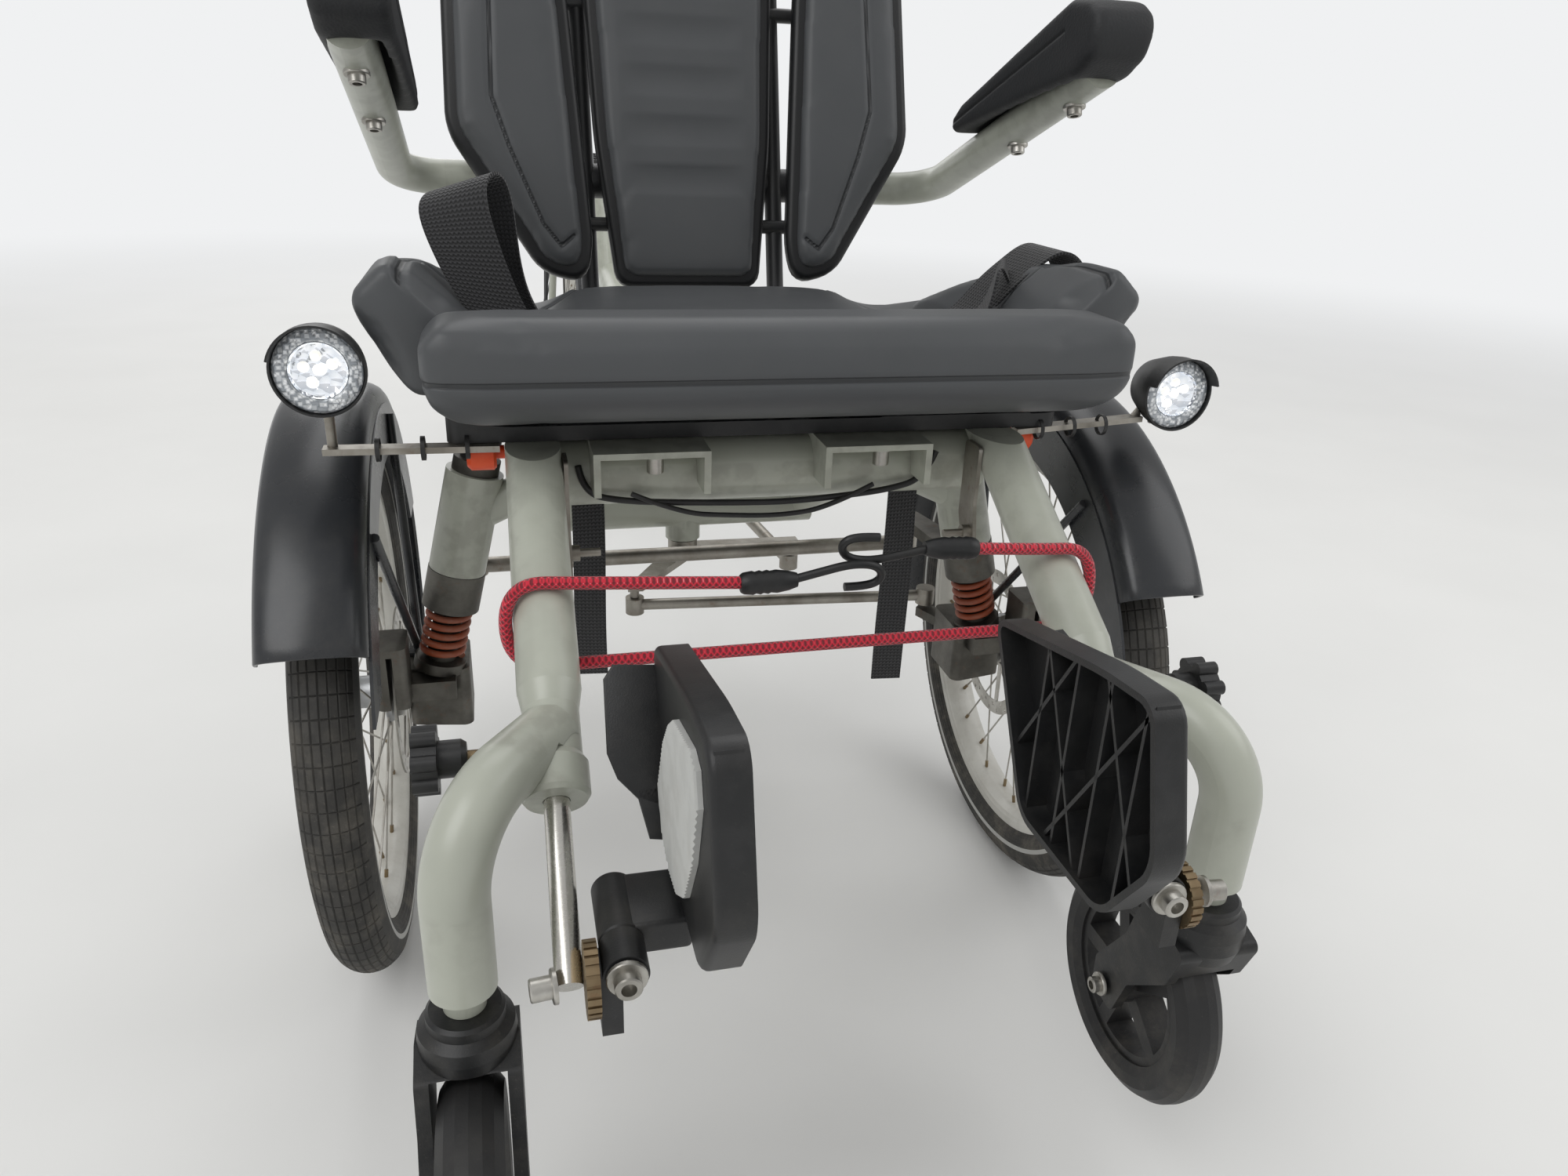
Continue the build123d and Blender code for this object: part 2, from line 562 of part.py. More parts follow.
# Caster forks and wheels: the left one trails back, the right one has swung round to the front
for word, side, trail in (("left", 1, 1), ("right", -1, -1)):
    wheel_y = CASTER_Y + trail * CASTER_TRAIL
    blade_in = CASTER_W / 2 + 3
    with BuildPart() as caster_fork:
        stem_plane = Plane(origin=at(side * CASTER_X, CASTER_Y, CASTER_TOP_Z - CROWN_H))
        turn_about(stem_plane, [
            (0, -14), (blade_in + 4, -14), (blade_in + CASTER_BLADE_T - 1, -4), (blade_in + 7, 6), (27, 14),
            (22, CROWN_H - 8), (22, CROWN_H - 2), (20, CROWN_H), (0, CROWN_H)])
        # Blades, cut from one block that leans back to the axle
        side_plane = Plane(origin=at(side * CASTER_X, CASTER_Y, CASTER_TOP_Z), x_dir=(0, 1, 0), z_dir=(1, 0, 0))
        drop = CASTER_AXLE_Z - CASTER_TOP_Z
        reach = CASTER_TRAIL
        outline = [(-26, -CROWN_H - 2), (reach * 0.1, -CROWN_H + 7), (28, -CROWN_H - 2), (reach * 0.72, -58),
                   (reach + 15, drop + 14), (reach + 14, drop - 12), (reach - 14, drop - 14),
                   (reach - 26, drop + 22), (-14, -60)]
        with BuildSketch(side_plane) as blades:
            with BuildLine():
                Polyline(*[(u * trail, v) for u, v in outline], close=True)
            make_face()
            fillet(blades.vertices(), 6)
        extrude(blades.sketch, amount=blade_in + CASTER_BLADE_T, both=True)
        slot_plane = Plane(origin=at(side * CASTER_X, wheel_y, CASTER_AXLE_Z), x_dir=(0, 1, 0), z_dir=(1, 0, 0))
        with BuildSketch(slot_plane) as slot:
            Circle(CASTER_R + 5)
        extrude(slot.sketch, amount=blade_in, both=True, mode=Mode.SUBTRACT)
        rod(at(side * CASTER_X - blade_in - CASTER_BLADE_T - 3, wheel_y, CASTER_AXLE_Z),
            at(side * CASTER_X + blade_in + CASTER_BLADE_T + 3, wheel_y, CASTER_AXLE_Z), CASTER_AXLE_D)
    finish(caster_fork, f"caster_fork_{word}")
    with BuildPart() as caster_wheel:
        hub_plane = Plane(origin=at(side * CASTER_X, wheel_y, CASTER_AXLE_Z), x_dir=(0, 1, 0), z_dir=(1, 0, 0))
        w = CASTER_W / 2
        turn_about(hub_plane, [
            (CASTER_R - 27, -w + 5), (CASTER_R - 20, -w + 1), (CASTER_R - 12, -w), (CASTER_R - 5, -w + 5),
            (CASTER_R - 1, -w + 11), (CASTER_R, 0), (CASTER_R - 1, w - 11), (CASTER_R - 5, w - 5),
            (CASTER_R - 12, w), (CASTER_R - 20, w - 1), (CASTER_R - 27, w - 5),
        ])
        bore_r = CASTER_AXLE_D / 2 + RUN_FIT
        turn_about(hub_plane, [(bore_r, -w - 1), (15, -w - 1), (17, 0), (15, w + 1), (bore_r, w + 1)])
        with BuildSketch(hub_plane) as web:
            Circle(CASTER_R - 24)
            Circle(CASTER_R - 33, mode=Mode.SUBTRACT)
            with PolarLocations(34, 5):
                Rectangle(48, 13)
            Circle(14, mode=Mode.SUBTRACT)
        extrude(web.sketch, amount=w - 7, both=True)
    finish(caster_wheel, f"caster_wheel_{word}")

# Footplates, folded up: a tray with a lattice of ribs inside, a heel guard on the tread side
FOLD_Y = (FOLD_FRONT_Y + FOLD_REAR_Y) / 2
FOLD_BLOCK_L = 23.0
for word, side in SIDES:
    tread_plane = Plane(origin=at(side * PLATE_X, FOLD_Y, FOLD_Z), x_dir=(0, 1, 0), z_dir=(side, 0, 0))
    outline = [(u, v * side) for u, v in PLATE_OUTLINE]
    with BuildPart() as footplate:
        slab(outline, tread_plane, -PLATE_T, corner=PLATE_CORNER)
        with BuildSketch(tread_plane.offset(-PLATE_SKIN)) as pocket:
            with BuildLine():
                Polyline(*outline, close=True)
            make_face()
            fillet(pocket.vertices(), PLATE_CORNER)
            offset(amount=-PLATE_RIM, mode=Mode.REPLACE)
        extrude(pocket.sketch, amount=-PLATE_T, mode=Mode.SUBTRACT)
        with BuildSketch(tread_plane.offset(-PLATE_SKIN)) as lattice:
            for u in (-56, -22, 12, 46):
                with Locations((u, 75 * side)):
                    Rectangle(RIB_T, 180)
            for u, v, turn in ((-50, 75, 62), (20, 75, 62), (-20, 75, -58), (50, 75, -58)):
                with Locations((u, v * side)):
                    Rectangle(190, RIB_T, rotation=turn * side)
            add(pocket.sketch_local, mode=Mode.INTERSECT)
        extrude(lattice.sketch, amount=-(PLATE_T - PLATE_SKIN - 3))
        # Heel guard along the rear edge
        edge = [tread_plane.from_local_coords(Vector(*outline[n], 0)) for n in (0, -1)]
        run = edge[1] - edge[0]
        guard_plane = Plane(origin=edge[0], x_dir=run, z_dir=run.cross(Vector(side, 0, 0)))
        length = run.length
        reach = GUARD_REACH
        guard = [(14, -2), (12, reach - 6), (20, reach), (length * 0.5, reach + 1), (length * 0.62, reach - 4),
                 (length * 0.72, reach * 0.5), (length - 12, reach * 0.34), (length - 10, -2)]
        slab(guard, guard_plane, side * 4.0)
        # Barrel round the fold pin, and the web to the plate
        barrel_low = FOLD_FRONT_Y + FOLD_BLOCK_L + 1
        barrel_high = FOLD_REAR_Y - 2
        web_plane = Plane(origin=at(0, barrel_low, FOLD_Z), x_dir=(1, 0, 0), z_dir=(0, 1, 0))
        slab([(side * (PLATE_X - PLATE_RIM), -FOLD_D * 0.42), (side * FOLD_X, -FOLD_D * 0.42),
              (side * FOLD_X, FOLD_D * 0.42), (side * (PLATE_X - PLATE_RIM), FOLD_D * 0.42)],
             web_plane, barrel_high - barrel_low)
        rod(at(side * FOLD_X, barrel_low, FOLD_Z), at(side * FOLD_X, barrel_high, FOLD_Z), FOLD_D)
        rod(at(side * FOLD_X, barrel_low - 1, FOLD_Z), at(side * FOLD_X, barrel_high + 1, FOLD_Z),
            FOLD_PIN_D + 2 * RUN_FIT, mode=Mode.SUBTRACT)
    finish(footplate, f"footplate_{word}")

    # Ribbed insert of the tread
    with BuildPart() as tread:
        seat = tread_plane.offset(SEAT_GAP)
        leaf = [(u, v * side) for u, v in TREAD_OUTLINE]
        slab(leaf, seat, TREAD_T, corner=5)
        with BuildSketch(seat.offset(TREAD_T)) as ridges:
            for number in range(-13, 14):
                with Locations((5.2 * number + 8, 66 * side)):
                    Rectangle(TREAD_RIDGE, 200, rotation=-24 * side)
            with BuildSketch(mode=Mode.PRIVATE) as inside:
                with BuildLine():
                    Polyline(*leaf, close=True)
                make_face()
                fillet(inside.vertices(), 5)
                offset(amount=-1, mode=Mode.REPLACE)
            add(inside.sketch_local, mode=Mode.INTERSECT)
        extrude(ridges.sketch, amount=TREAD_RIDGE)
    finish(tread, f"tread_{word}")

# Clamps at the rods' feet: block with the fold pin, and its stop tab
CLAMP_X = FOLD_X + FOLD_D / 2 + 1
BLOCK_IN_X = FOLD_X + 2
with BuildPart() as foot_clamps:
    for word, side in SIDES:
        low_y = FOLD_FRONT_Y
        block_low = FOLD_Z - FOLD_D - 14
        slab([(side * BLOCK_IN_X, low_y), (side * CLAMP_X, low_y),
              (side * CLAMP_X, low_y + FOLD_BLOCK_L), (side * BLOCK_IN_X, low_y + FOLD_BLOCK_L)],
             Plane(origin=at(0, 0, block_low)), FOLD_Z - block_low)
        rod(at(side * FOLD_X, low_y, FOLD_Z), at(side * FOLD_X, low_y + FOLD_BLOCK_L, FOLD_Z), FOLD_D)
        rod(at(side * FOLD_X, low_y - 2, FOLD_Z), at(side * FOLD_X, FOLD_REAR_Y, FOLD_Z), FOLD_PIN_D)
finish(foot_clamps, "foot_clamps")

# Plated clamp pieces: serrated discs at the rods' feet, and the star knobs' threaded studs
KNOB = (229.0, -405.0, 420.0)
KNOB_R = 16.0
KNOB_T = 14.0
KNOB_HUB_L = 16.0
STUD_OF_KNOB_D = 8.0
CLAMP_Z = LEG_FOOT[2] + 9
with BuildPart() as clamp_discs:
    for word, side in SIDES:
        disc_plane = Plane(origin=at(side * (CLAMP_X + SEAT_GAP), LEG_FOOT[1] - 6, CLAMP_Z),
                           x_dir=(0, 1, 0), z_dir=(side, 0, 0))
        with BuildSketch(disc_plane) as disc:
            Circle(CLAMP_D / 2)
            with PolarLocations(CLAMP_D / 2, 24):
                Rectangle(2.4, 1.8, mode=Mode.SUBTRACT)
        extrude(disc.sketch, amount=CLAMP_T)
        for point, towards in ((LEG_FOOT, LEG_TOP),):
            rod(at(side * point[0], *point[1:]), at(side * towards[0], *towards[1:]), ROD_D + 2 * SEAT_GAP,
                mode=Mode.SUBTRACT)
    for word, side in SIDES:
        rod(at(side * (KNOB[0] - SEAT_GAP), KNOB[1], KNOB[2]), at(side * 200, KNOB[1], KNOB[2]),
            STUD_OF_KNOB_D)
        caster_arm(side, CASTER_ARM_D + 2 * SEAT_GAP, mode=Mode.SUBTRACT)
finish(clamp_discs, "clamp_discs")

# Star knobs that clamp the caster arms
with BuildPart() as star_knobs:
    for word, side in SIDES:
        knob_plane = Plane(origin=at(side * KNOB[0], KNOB[1], KNOB[2]), x_dir=(0, 1, 0), z_dir=(side, 0, 0))
        with BuildSketch(knob_plane.offset(KNOB_HUB_L)) as star:
            Circle(KNOB_R)
            with PolarLocations(KNOB_R, 7):
                Circle(KNOB_R * 0.3)
        extrude(star.sketch, amount=KNOB_T)
        turn_about(knob_plane, [(0, 0), (9, 0), (11, 3), (11, KNOB_HUB_L + 1), (0, KNOB_HUB_L + 1)])
finish(star_knobs, "star_knobs")

# Passenger seat: brackets, shell, cushion
with BuildPart() as seat_brackets:
    for bracket_x in (-95, 75):
        with BuildSketch(Plane(origin=at(bracket_x, -225, 0), x_dir=(1, 0, 0), z_dir=(0, 1, 0))) as channel:
            with BuildLine():
                Polyline((-42, -544), (42, -544), (42, -512), (37, -512), (37, -539.5), (-37, -539.5),
                         (-37, -512), (-42, -512), close=True)
            make_face()
        extrude(channel.sketch, amount=120)
    rod(at(-170, FRONT_CROSS_Y, FRONT_CROSS_Z), at(170, FRONT_CROSS_Y, FRONT_CROSS_Z),
        FRONT_CROSS_D + 2 * SEAT_GAP, mode=Mode.SUBTRACT)
finish(seat_brackets, "seat_brackets")

shell_outline = [(-236, SHELL_FRONT_Y), (236, SHELL_FRONT_Y), (236, 60), (200, CUSHION_REAR_Y),
                 (-200, CUSHION_REAR_Y), (-236, 60)]
with BuildPart() as seat_shell:
    slab(shell_outline, Plane(origin=at(0, 0, SHELL_LOW_Z)), PAD_LOW_Z - SHELL_LOW_Z, corner=8)
finish(seat_shell, "seat_shell")

seat_outline = [(-240, PAD_FRONT_Y + 6), (240, PAD_FRONT_Y + 6), (245, -215), (252, -205), (250, 60),
                (205, CUSHION_REAR_Y), (-205, CUSHION_REAR_Y), (-250, 60), (-252, -205), (-245, -215)]
with BuildPart() as seat_cushion:
    slab(seat_outline, Plane(origin=at(0, 0, PAD_LOW_Z + SEAT_GAP)), CUSHION_TOP_Z - PAD_LOW_Z, corner=8)
    pad_mid = PAD_FRONT_Y + PAD_DEPTH / 2
    with BuildSketch(Plane(origin=at(0, pad_mid, PAD_LOW_Z + SEAT_GAP))) as roll:
        RectangleRounded(PAD_W, PAD_DEPTH, 18)
    extrude(roll.sketch, amount=PAD_TOP_Z - PAD_LOW_Z)
    for side in (-1, 1):
        ramp_plane = Plane(origin=at(0, WING_FRONT_Y, 0), x_dir=(1, 0, 0), z_dir=(0, 1, 0))
        ramp = [(side * WING_IN_X, -(PAD_LOW_Z + 4)), (side * WING_IN_X, -CUSHION_TOP_Z),
                (side * 228, -(CUSHION_TOP_Z + 34)), (side * WING_RIDGE_X, -WING_TOP_Z),
                (side * WING_OUT_X, -(WING_TOP_Z - 25)), (side * 252, -(PAD_LOW_Z + 4))]
        slab(ramp, ramp_plane, WING_REAR_Y - WING_FRONT_Y)
    # The wings run out towards the back
    fall = [(-150, WING_TOP_Z + 1), (-60, WING_TOP_Z - 19), (0, WING_TOP_Z - 45),
            (WING_REAR_Y + 1, CUSHION_TOP_Z + 1), (WING_REAR_Y + 1, WING_TOP_Z + 20), (-150, WING_TOP_Z + 20)]
    slab(fall, Plane(origin=at(-300, 0, 0), x_dir=(0, 1, 0), z_dir=(1, 0, 0)), 600, mode=Mode.SUBTRACT)
finish(seat_cushion, "seat_cushion")


def back_y(base, height):
    """How far back a reclined panel's front lies at a height."""
    return base[0] + (height - base[1]) * tan(radians(RECLINE))


def back_panel(label, base, outline):
    """A backrest panel from (x, height) points, laid on the reclined plane."""
    lean = radians(RECLINE)
    face = Plane(origin=at(0, base[0], base[1]), x_dir=(1, 0, 0), z_dir=(0, cos(lean), -sin(lean)))
    with BuildPart() as panel:
        slab([(x, -(z - base[1]) / cos(lean)) for x, z in outline], face, PANEL_T, corner=14)
    finish(panel, label)


back_panel("backrest_centre", CENTRE_LOW, [
    (-61, 600), (61, 600), (90, 740), (96, 900), (90, 1090), (60, BACK_TOP_Z), (-60, BACK_TOP_Z),
    (-90, 1090), (-96, 900), (-90, 740)])
for word, side in SIDES:
    back_panel(f"backrest_{word}", WING_LOW, [
        (side * 96, 640), (side * 118, 605), (side * 150, 620), (side * 232, 744), (side * 225, 900),
        (side * 190, 1060), (side * 130, 1085), (side * 112, 900), (side * 104, 740)])

# Backrest frame: two uprights behind the gaps and the fixed middle of the arm shaft
with BuildPart() as backrest_frame:
    for side in (-1, 1):
        low_y = back_y(CENTRE_LOW, 560) + PANEL_T + 12
        top_y = back_y(CENTRE_LOW, 1050) + PANEL_T + 12
        rod(at(side * 99, low_y, 552), at(side * 99, top_y, 1050), 18)
        rod(at(side * 99, back_y(CENTRE_LOW, 552) + PANEL_T + 16, 560), at(side * 99, CUSHION_REAR_Y + SEAT_GAP, 560), 20)
        for height in (655, 860, 1020):
            y = back_y(CENTRE_LOW, height) + (PANEL_T + BACK_BAR_D / 2 + SEAT_GAP) / cos(radians(RECLINE))
            rod(at(side * 60, y, height), at(side * 142, y, height), BACK_BAR_D)
            wing_back = back_y(WING_LOW, height) + (PANEL_T + SEAT_GAP) / cos(radians(RECLINE))
            rod(at(side * 136, y, height), at(side * 136, wing_back + 2, height), 12)
    rod(at(-148, ARM_HINGE_Y, ARM_HINGE_Z), at(148, ARM_HINGE_Y, ARM_HINGE_Z), ARM_D)
    rod(at(-232, ARM_HINGE_Y, ARM_HINGE_Z), at(232, ARM_HINGE_Y, ARM_HINGE_Z), ARM_SHAFT_D)
finish(backrest_frame, "backrest_frame")

# Armrests: bent tubes on the arm shaft, with foam pads
for word, side in SIDES:
    with BuildPart() as arm_tube:
        bent_tube([at(side * 149, ARM_HINGE_Y, ARM_HINGE_Z), at(side * ARM_X, ARM_HINGE_Y, ARM_HINGE_Z),
                   at(side * ARM_X, ARM_END_Y, ARM_END_Z)], ARM_D, 46)
        rod(at(side * 140, ARM_HINGE_Y, ARM_HINGE_Z), at(side * 239, ARM_HINGE_Y, ARM_HINGE_Z),
            ARM_SHAFT_D + 2 * RUN_FIT, mode=Mode.SUBTRACT)
    finish(arm_tube, f"arm_tube_{word}")
    rise = atan2(ARM_END_Z - ARM_HINGE_Z, ARM_HINGE_Y - ARM_END_Y)
    with BuildPart() as arm_pad:
        lift = ARM_D / 2 + SEAT_GAP
        # Side outline along the tube: the pad curls down over the tube's open end
        pad_plane = Plane(origin=at(side * (ARM_X - 6) - PAD_HALF, ARM_END_Y, ARM_END_Z),
                          x_dir=(0, cos(rise), -sin(rise)), z_dir=(1, 0, 0))
        outline = [(-34, -6), (-46, 8), (-47, 22), (-34, 36), (-8, lift + 30), (90, lift + 26),
                   (205, lift + 22), (232, lift + 14), (232, lift), (-6, lift), (-8, -10), (-22, -14)]
        with BuildSketch(pad_plane) as profile:
            with BuildLine():
                Polyline(*outline, close=True)
            make_face()
            fillet(profile.vertices(), 3)
        extrude(profile.sketch, amount=2 * PAD_HALF)
        fillet(arm_pad.faces().sort_by(Axis.X)[0].edges() + arm_pad.faces().sort_by(Axis.X)[-1].edges(), 2)
    finish(arm_pad, f"arm_pad_{word}")

# Lamps on flat bars from under the seat
LAMPS = (("right", -313, -194, 600), ("left", 352, -170, 565))
LAMP_R = 31.0
STRIP_T = 3.0


def lamp_plane(x, y, z):
    """The plane of a lamp's lens, looking ahead."""
    return Plane(origin=at(x, y, z), x_dir=(1, 0, 0), z_dir=(0, -1, 0))


with BuildPart() as lamp_bars:
    bar_z = SHELL_LOW_Z - SEAT_GAP - 4.5
    slab([(-318, -194), (-200, -198), (-200, -186), (-318, -182)], Plane(origin=at(0, 0, bar_z)), 4.5)
    rod(at(-312, -184, bar_z + 2), at(-312, -184, 590), 7)
    slab([(200, -196), (328, -169), (328, -157), (200, -184)], Plane(origin=at(0, 0, bar_z)), 4.5)
    rod(at(322, -163, bar_z + 2), at(350, -150, 564), 7)
    for word, x, y, z in LAMPS:
        turn_about(lamp_plane(x, y, z), [(0, -44 - SEAT_GAP), (13 + SEAT_GAP, -44 - SEAT_GAP), (23, -30),
                                         (LAMP_R - 1, -8), (LAMP_R + SEAT_GAP, 0), (LAMP_R + SEAT_GAP, 9), (0, 9)],
                   mode=Mode.SUBTRACT)
    for word, side in SIDES:
        strip_x = LEG_TOP[0] - LEG_D / 2 + 0.1
        strip_plane = Plane(origin=at(side * strip_x, 0, 0), x_dir=(0, 1, 0), z_dir=(-side, 0, 0))
        flip = -side
        slab([(-236, 452 * flip), (-212, 452 * flip), (-200, 480 * flip), (-200, 540 * flip), (-226, 540 * flip),
              (-226, 492 * flip)], strip_plane, STRIP_T, corner=4)
        rod(at(side * (strip_x - STRIP_T + 1), -222, 470), at(side * (strip_x - 24), -222, 470), 6)
        rod(at(side * (strip_x - STRIP_T + 1), -222, 470), at(side * (strip_x - 9), -222, 470), 12)
finish(lamp_bars, "lamp_bars")
with BuildPart() as lamp_housings:
    for word, x, y, z in LAMPS:
        turn_about(lamp_plane(x, y, z), [(0, -44), (13, -44), (22.5, -30), (LAMP_R - 1.5, -8), (LAMP_R, 0),
                                         (LAMP_R, 8), (LAMP_R - 2, 8), (LAMP_R - 2, 0), (0, 0)])
finish(lamp_housings, "lamp_housings")
with BuildPart() as lamp_lenses:
    for word, x, y, z in LAMPS:
        with BuildSketch(lamp_plane(x, y, z).offset(SEAT_GAP)) as lens:
            Circle(LAMP_R - 2 - SEAT_GAP)
        extrude(lens.sketch, amount=6)
finish(lamp_lenses, "lamp_lenses")

# Central steering shaft with its two-armed lever
LEVER_T = 8.0
STUD_L = 9.0
STUD_D = 10.0
LINK_START_Z = PITMAN_Z - LEVER_T - STUD_L - JOINT_GAP - EYE_H / 2
with BuildPart() as pitman:
    lever_plane = Plane(origin=at(0, 0, PITMAN_Z - LEVER_T))
    for tip in (PITMAN_TIP, (PITMAN_ARM_X, REAR_CROSS_Y)):
        rod(at(*tip, PITMAN_Z - 2), at(*tip, PITMAN_Z - LEVER_T - STUD_L), STUD_D)
    rod(at(0, REAR_CROSS_Y, PITMAN_Z - 8), at(0, REAR_CROSS_Y, REAR_CROSS_Z), 20)
    rod(at(0, REAR_CROSS_Y, PITMAN_Z - 8), at(0, REAR_CROSS_Y, PITMAN_Z + 10), 34)
    slab([(-14, REAR_CROSS_Y), (PITMAN_TIP[0] - 8, PITMAN_TIP[1] - 8), (PITMAN_TIP[0] + 8, PITMAN_TIP[1] - 8),
          (14, REAR_CROSS_Y - 12), (PITMAN_ARM_X + 10, REAR_CROSS_Y - 10), (PITMAN_ARM_X + 10, REAR_CROSS_Y + 10),
          (0, REAR_CROSS_Y + 14)], lever_plane, 8)
finish(pitman, "pitman_lever")

# Links of the steering
with BuildPart() as tie_rod:
    rod(at(-TIE_X, TIE_Y, TIE_Z), at(TIE_X, TIE_Y, TIE_Z), TIE_D)
    for side in (-1, 1):
        rod(at(side * TIE_X, TIE_Y, TIE_Z - EYE_H / 2), at(side * TIE_X, TIE_Y, TIE_Z + EYE_H / 2), EYE_D)
finish(tie_rod, "tie_rod")

DRAG_START = (PITMAN_TIP[0], PITMAN_TIP[1], LINK_START_Z)
DRAG_END = (DRAG_X, DRAG_Y, DRAG_Z)
with BuildPart() as drag_link:
    rod(at(*DRAG_START), at(*DRAG_END), 12)
    for x, y, z in (DRAG_START, DRAG_END):
        rod(at(x, y, z - EYE_H / 2), at(x, y, z + EYE_H / 2), 20)
finish(drag_link, "drag_link")

head_dir = Vector(0, sin(radians(HEAD_LEAN)), cos(radians(HEAD_LEAN)))
head_foot = at(0, HEAD_Y, HEAD_Z)
head_top = head_foot + head_dir * HEAD_L
ARM_DROP = 22.0
column_arm_tip = head_foot - head_dir * ARM_DROP + Vector(-COLUMN_ARM, 0, 0)
COLUMN_LINK_START = at(PITMAN_ARM_X, REAR_CROSS_Y, LINK_START_Z)
COLUMN_LINK_END = column_arm_tip - head_dir * (EYE_H / 2 + 8 + FAR_GAP)
with BuildPart() as column_link:
    rod(COLUMN_LINK_START, COLUMN_LINK_END, 14)
    rod(COLUMN_LINK_START - Vector(0, 0, EYE_H / 2), COLUMN_LINK_START + Vector(0, 0, EYE_H / 2), 22)
    rod(COLUMN_LINK_END - head_dir * (EYE_H / 2), COLUMN_LINK_END + head_dir * (EYE_H / 2), 22)
finish(column_link, "column_link")

# Rear frame: beam, head tube, down tube, seat tube and rear triangle
seat_tube_dir = Vector(0, sin(radians(SEAT_TUBE_LEAN)), cos(radians(SEAT_TUBE_LEAN)))
bracket = at(0, BRACKET_Y, BRACKET_Z)
seat_tube_len = (SEAT_TUBE_TOP_Z - BRACKET_Z) / cos(radians(SEAT_TUBE_LEAN))
seat_tube_top = bracket + seat_tube_dir * seat_tube_len
rear_axle = at(0, REAR_AXLE_Y, REAR_R)
STAY_D = 18.0
SEAT_STAY_D = 16.0


def chain_stay(side, diameter, mode=Mode.ADD):
    drop = rear_axle + Vector(side * DROPOUT_X, 0, 0)
    bent_tube([bracket + Vector(side * 26, 15, 0), bracket + Vector(side * 42, 120, 0), drop], diameter, 80, mode)


def seat_stay(side, diameter, mode=Mode.ADD):
    drop = rear_axle + Vector(side * DROPOUT_X, 0, 0)
    bent_tube([seat_tube_top + Vector(side * 10, 0, -40), seat_tube_top + Vector(side * 62, 60, -75), drop],
              diameter, 40, mode)


with BuildPart() as rear_frame:
    beam_start = at(0, REAR_CROSS_Y + REAR_CROSS_D / 2, REAR_CROSS_Z + 6)
    rod(beam_start, head_foot + head_dir * 35, BEAM_D)
    rod(head_foot, head_top, HEAD_D)
    rod(head_foot + head_dir * 60, bracket, 44)
    rod(head_foot + head_dir * 130, bracket + seat_tube_dir * 230, 32)
    rod(bracket, seat_tube_top, SEAT_TUBE_D)
    rod(bracket - Vector(34, 0, 0), bracket + Vector(34, 0, 0), 44)
    for side in (-1, 1):
        drop = rear_axle + Vector(side * DROPOUT_X, 0, 0)
        chain_stay(side, STAY_D)
        seat_stay(side, SEAT_STAY_D)
        rod(drop - Vector(4, 0, 0), drop + Vector(4, 0, 0), 40)
    rod(head_foot - head_dir * 5, head_top + head_dir * 5, COLUMN_D + 2 * RUN_FIT, mode=Mode.SUBTRACT)
    rod(bracket - Vector(50, 0, 0), bracket + Vector(50, 0, 0), SPINDLE_D + 2 * RUN_FIT, mode=Mode.SUBTRACT)
    rod(rear_axle - Vector(95, 0, 0), rear_axle + Vector(95, 0, 0), REAR_AXLE_D + 2 * SEAT_GAP,
        mode=Mode.SUBTRACT)
    rod(seat_tube_top - seat_tube_dir * 160, seat_tube_top + seat_tube_dir * 5, 27.2 + 2 * SEAT_GAP,
        mode=Mode.SUBTRACT)
    rod(at(-200, REAR_CROSS_Y, REAR_CROSS_Z), at(200, REAR_CROSS_Y, REAR_CROSS_Z), REAR_CROSS_D,
        mode=Mode.SUBTRACT)
finish(rear_frame, "rear_frame")

# Steering column with handlebar; the grips are separate
bar_base = head_foot + head_dir * ((BAR_Z - HEAD_Z) / cos(radians(HEAD_LEAN)))
with BuildPart() as handlebar:
    rod(head_foot - head_dir * (ARM_DROP + 8), bar_base, COLUMN_D)
    rod(head_top + head_dir * SEAT_GAP, head_top + head_dir * 18, 40)
    rod(bar_base - head_dir * 30, bar_base + head_dir * 4, 38)
    rod(head_foot - head_dir * (ARM_DROP + 1), column_arm_tip - head_dir * 1, 12)
    rod(column_arm_tip - head_dir * 7.5, column_arm_tip + head_dir * 4, 20)
    stem_tip = bar_base + Vector(0, -40, 15)
    rod(bar_base - head_dir * 12, stem_tip, 26)
    bent_tube([stem_tip + Vector(-BAR_HALF, 190, 12), stem_tip + Vector(-BAR_HALF + 30, 70, 30),
               stem_tip + Vector(-120, 0, 20), stem_tip + Vector(-40, 0, 0), stem_tip + Vector(40, 0, 0),
               stem_tip + Vector(120, 0, 20), stem_tip + Vector(BAR_HALF - 30, 70, 30),
               stem_tip + Vector(BAR_HALF, 190, 12)], BAR_D, [60, 60, 60, 60, 60, 60])
finish(handlebar, "handlebar")
with BuildPart() as grips:
    for side in (-1, 1):
        tip = stem_tip + Vector(side * BAR_HALF, 190, 12)
        inner = stem_tip + Vector(side * (BAR_HALF - 30), 70, 30)
        run = (inner - tip).normalized()
        rod(tip - run * 6, tip + run * 94, GRIP_D)
        rod(tip, tip + run * 120, BAR_D + 0.02, mode=Mode.SUBTRACT)
finish(grips, "grips")

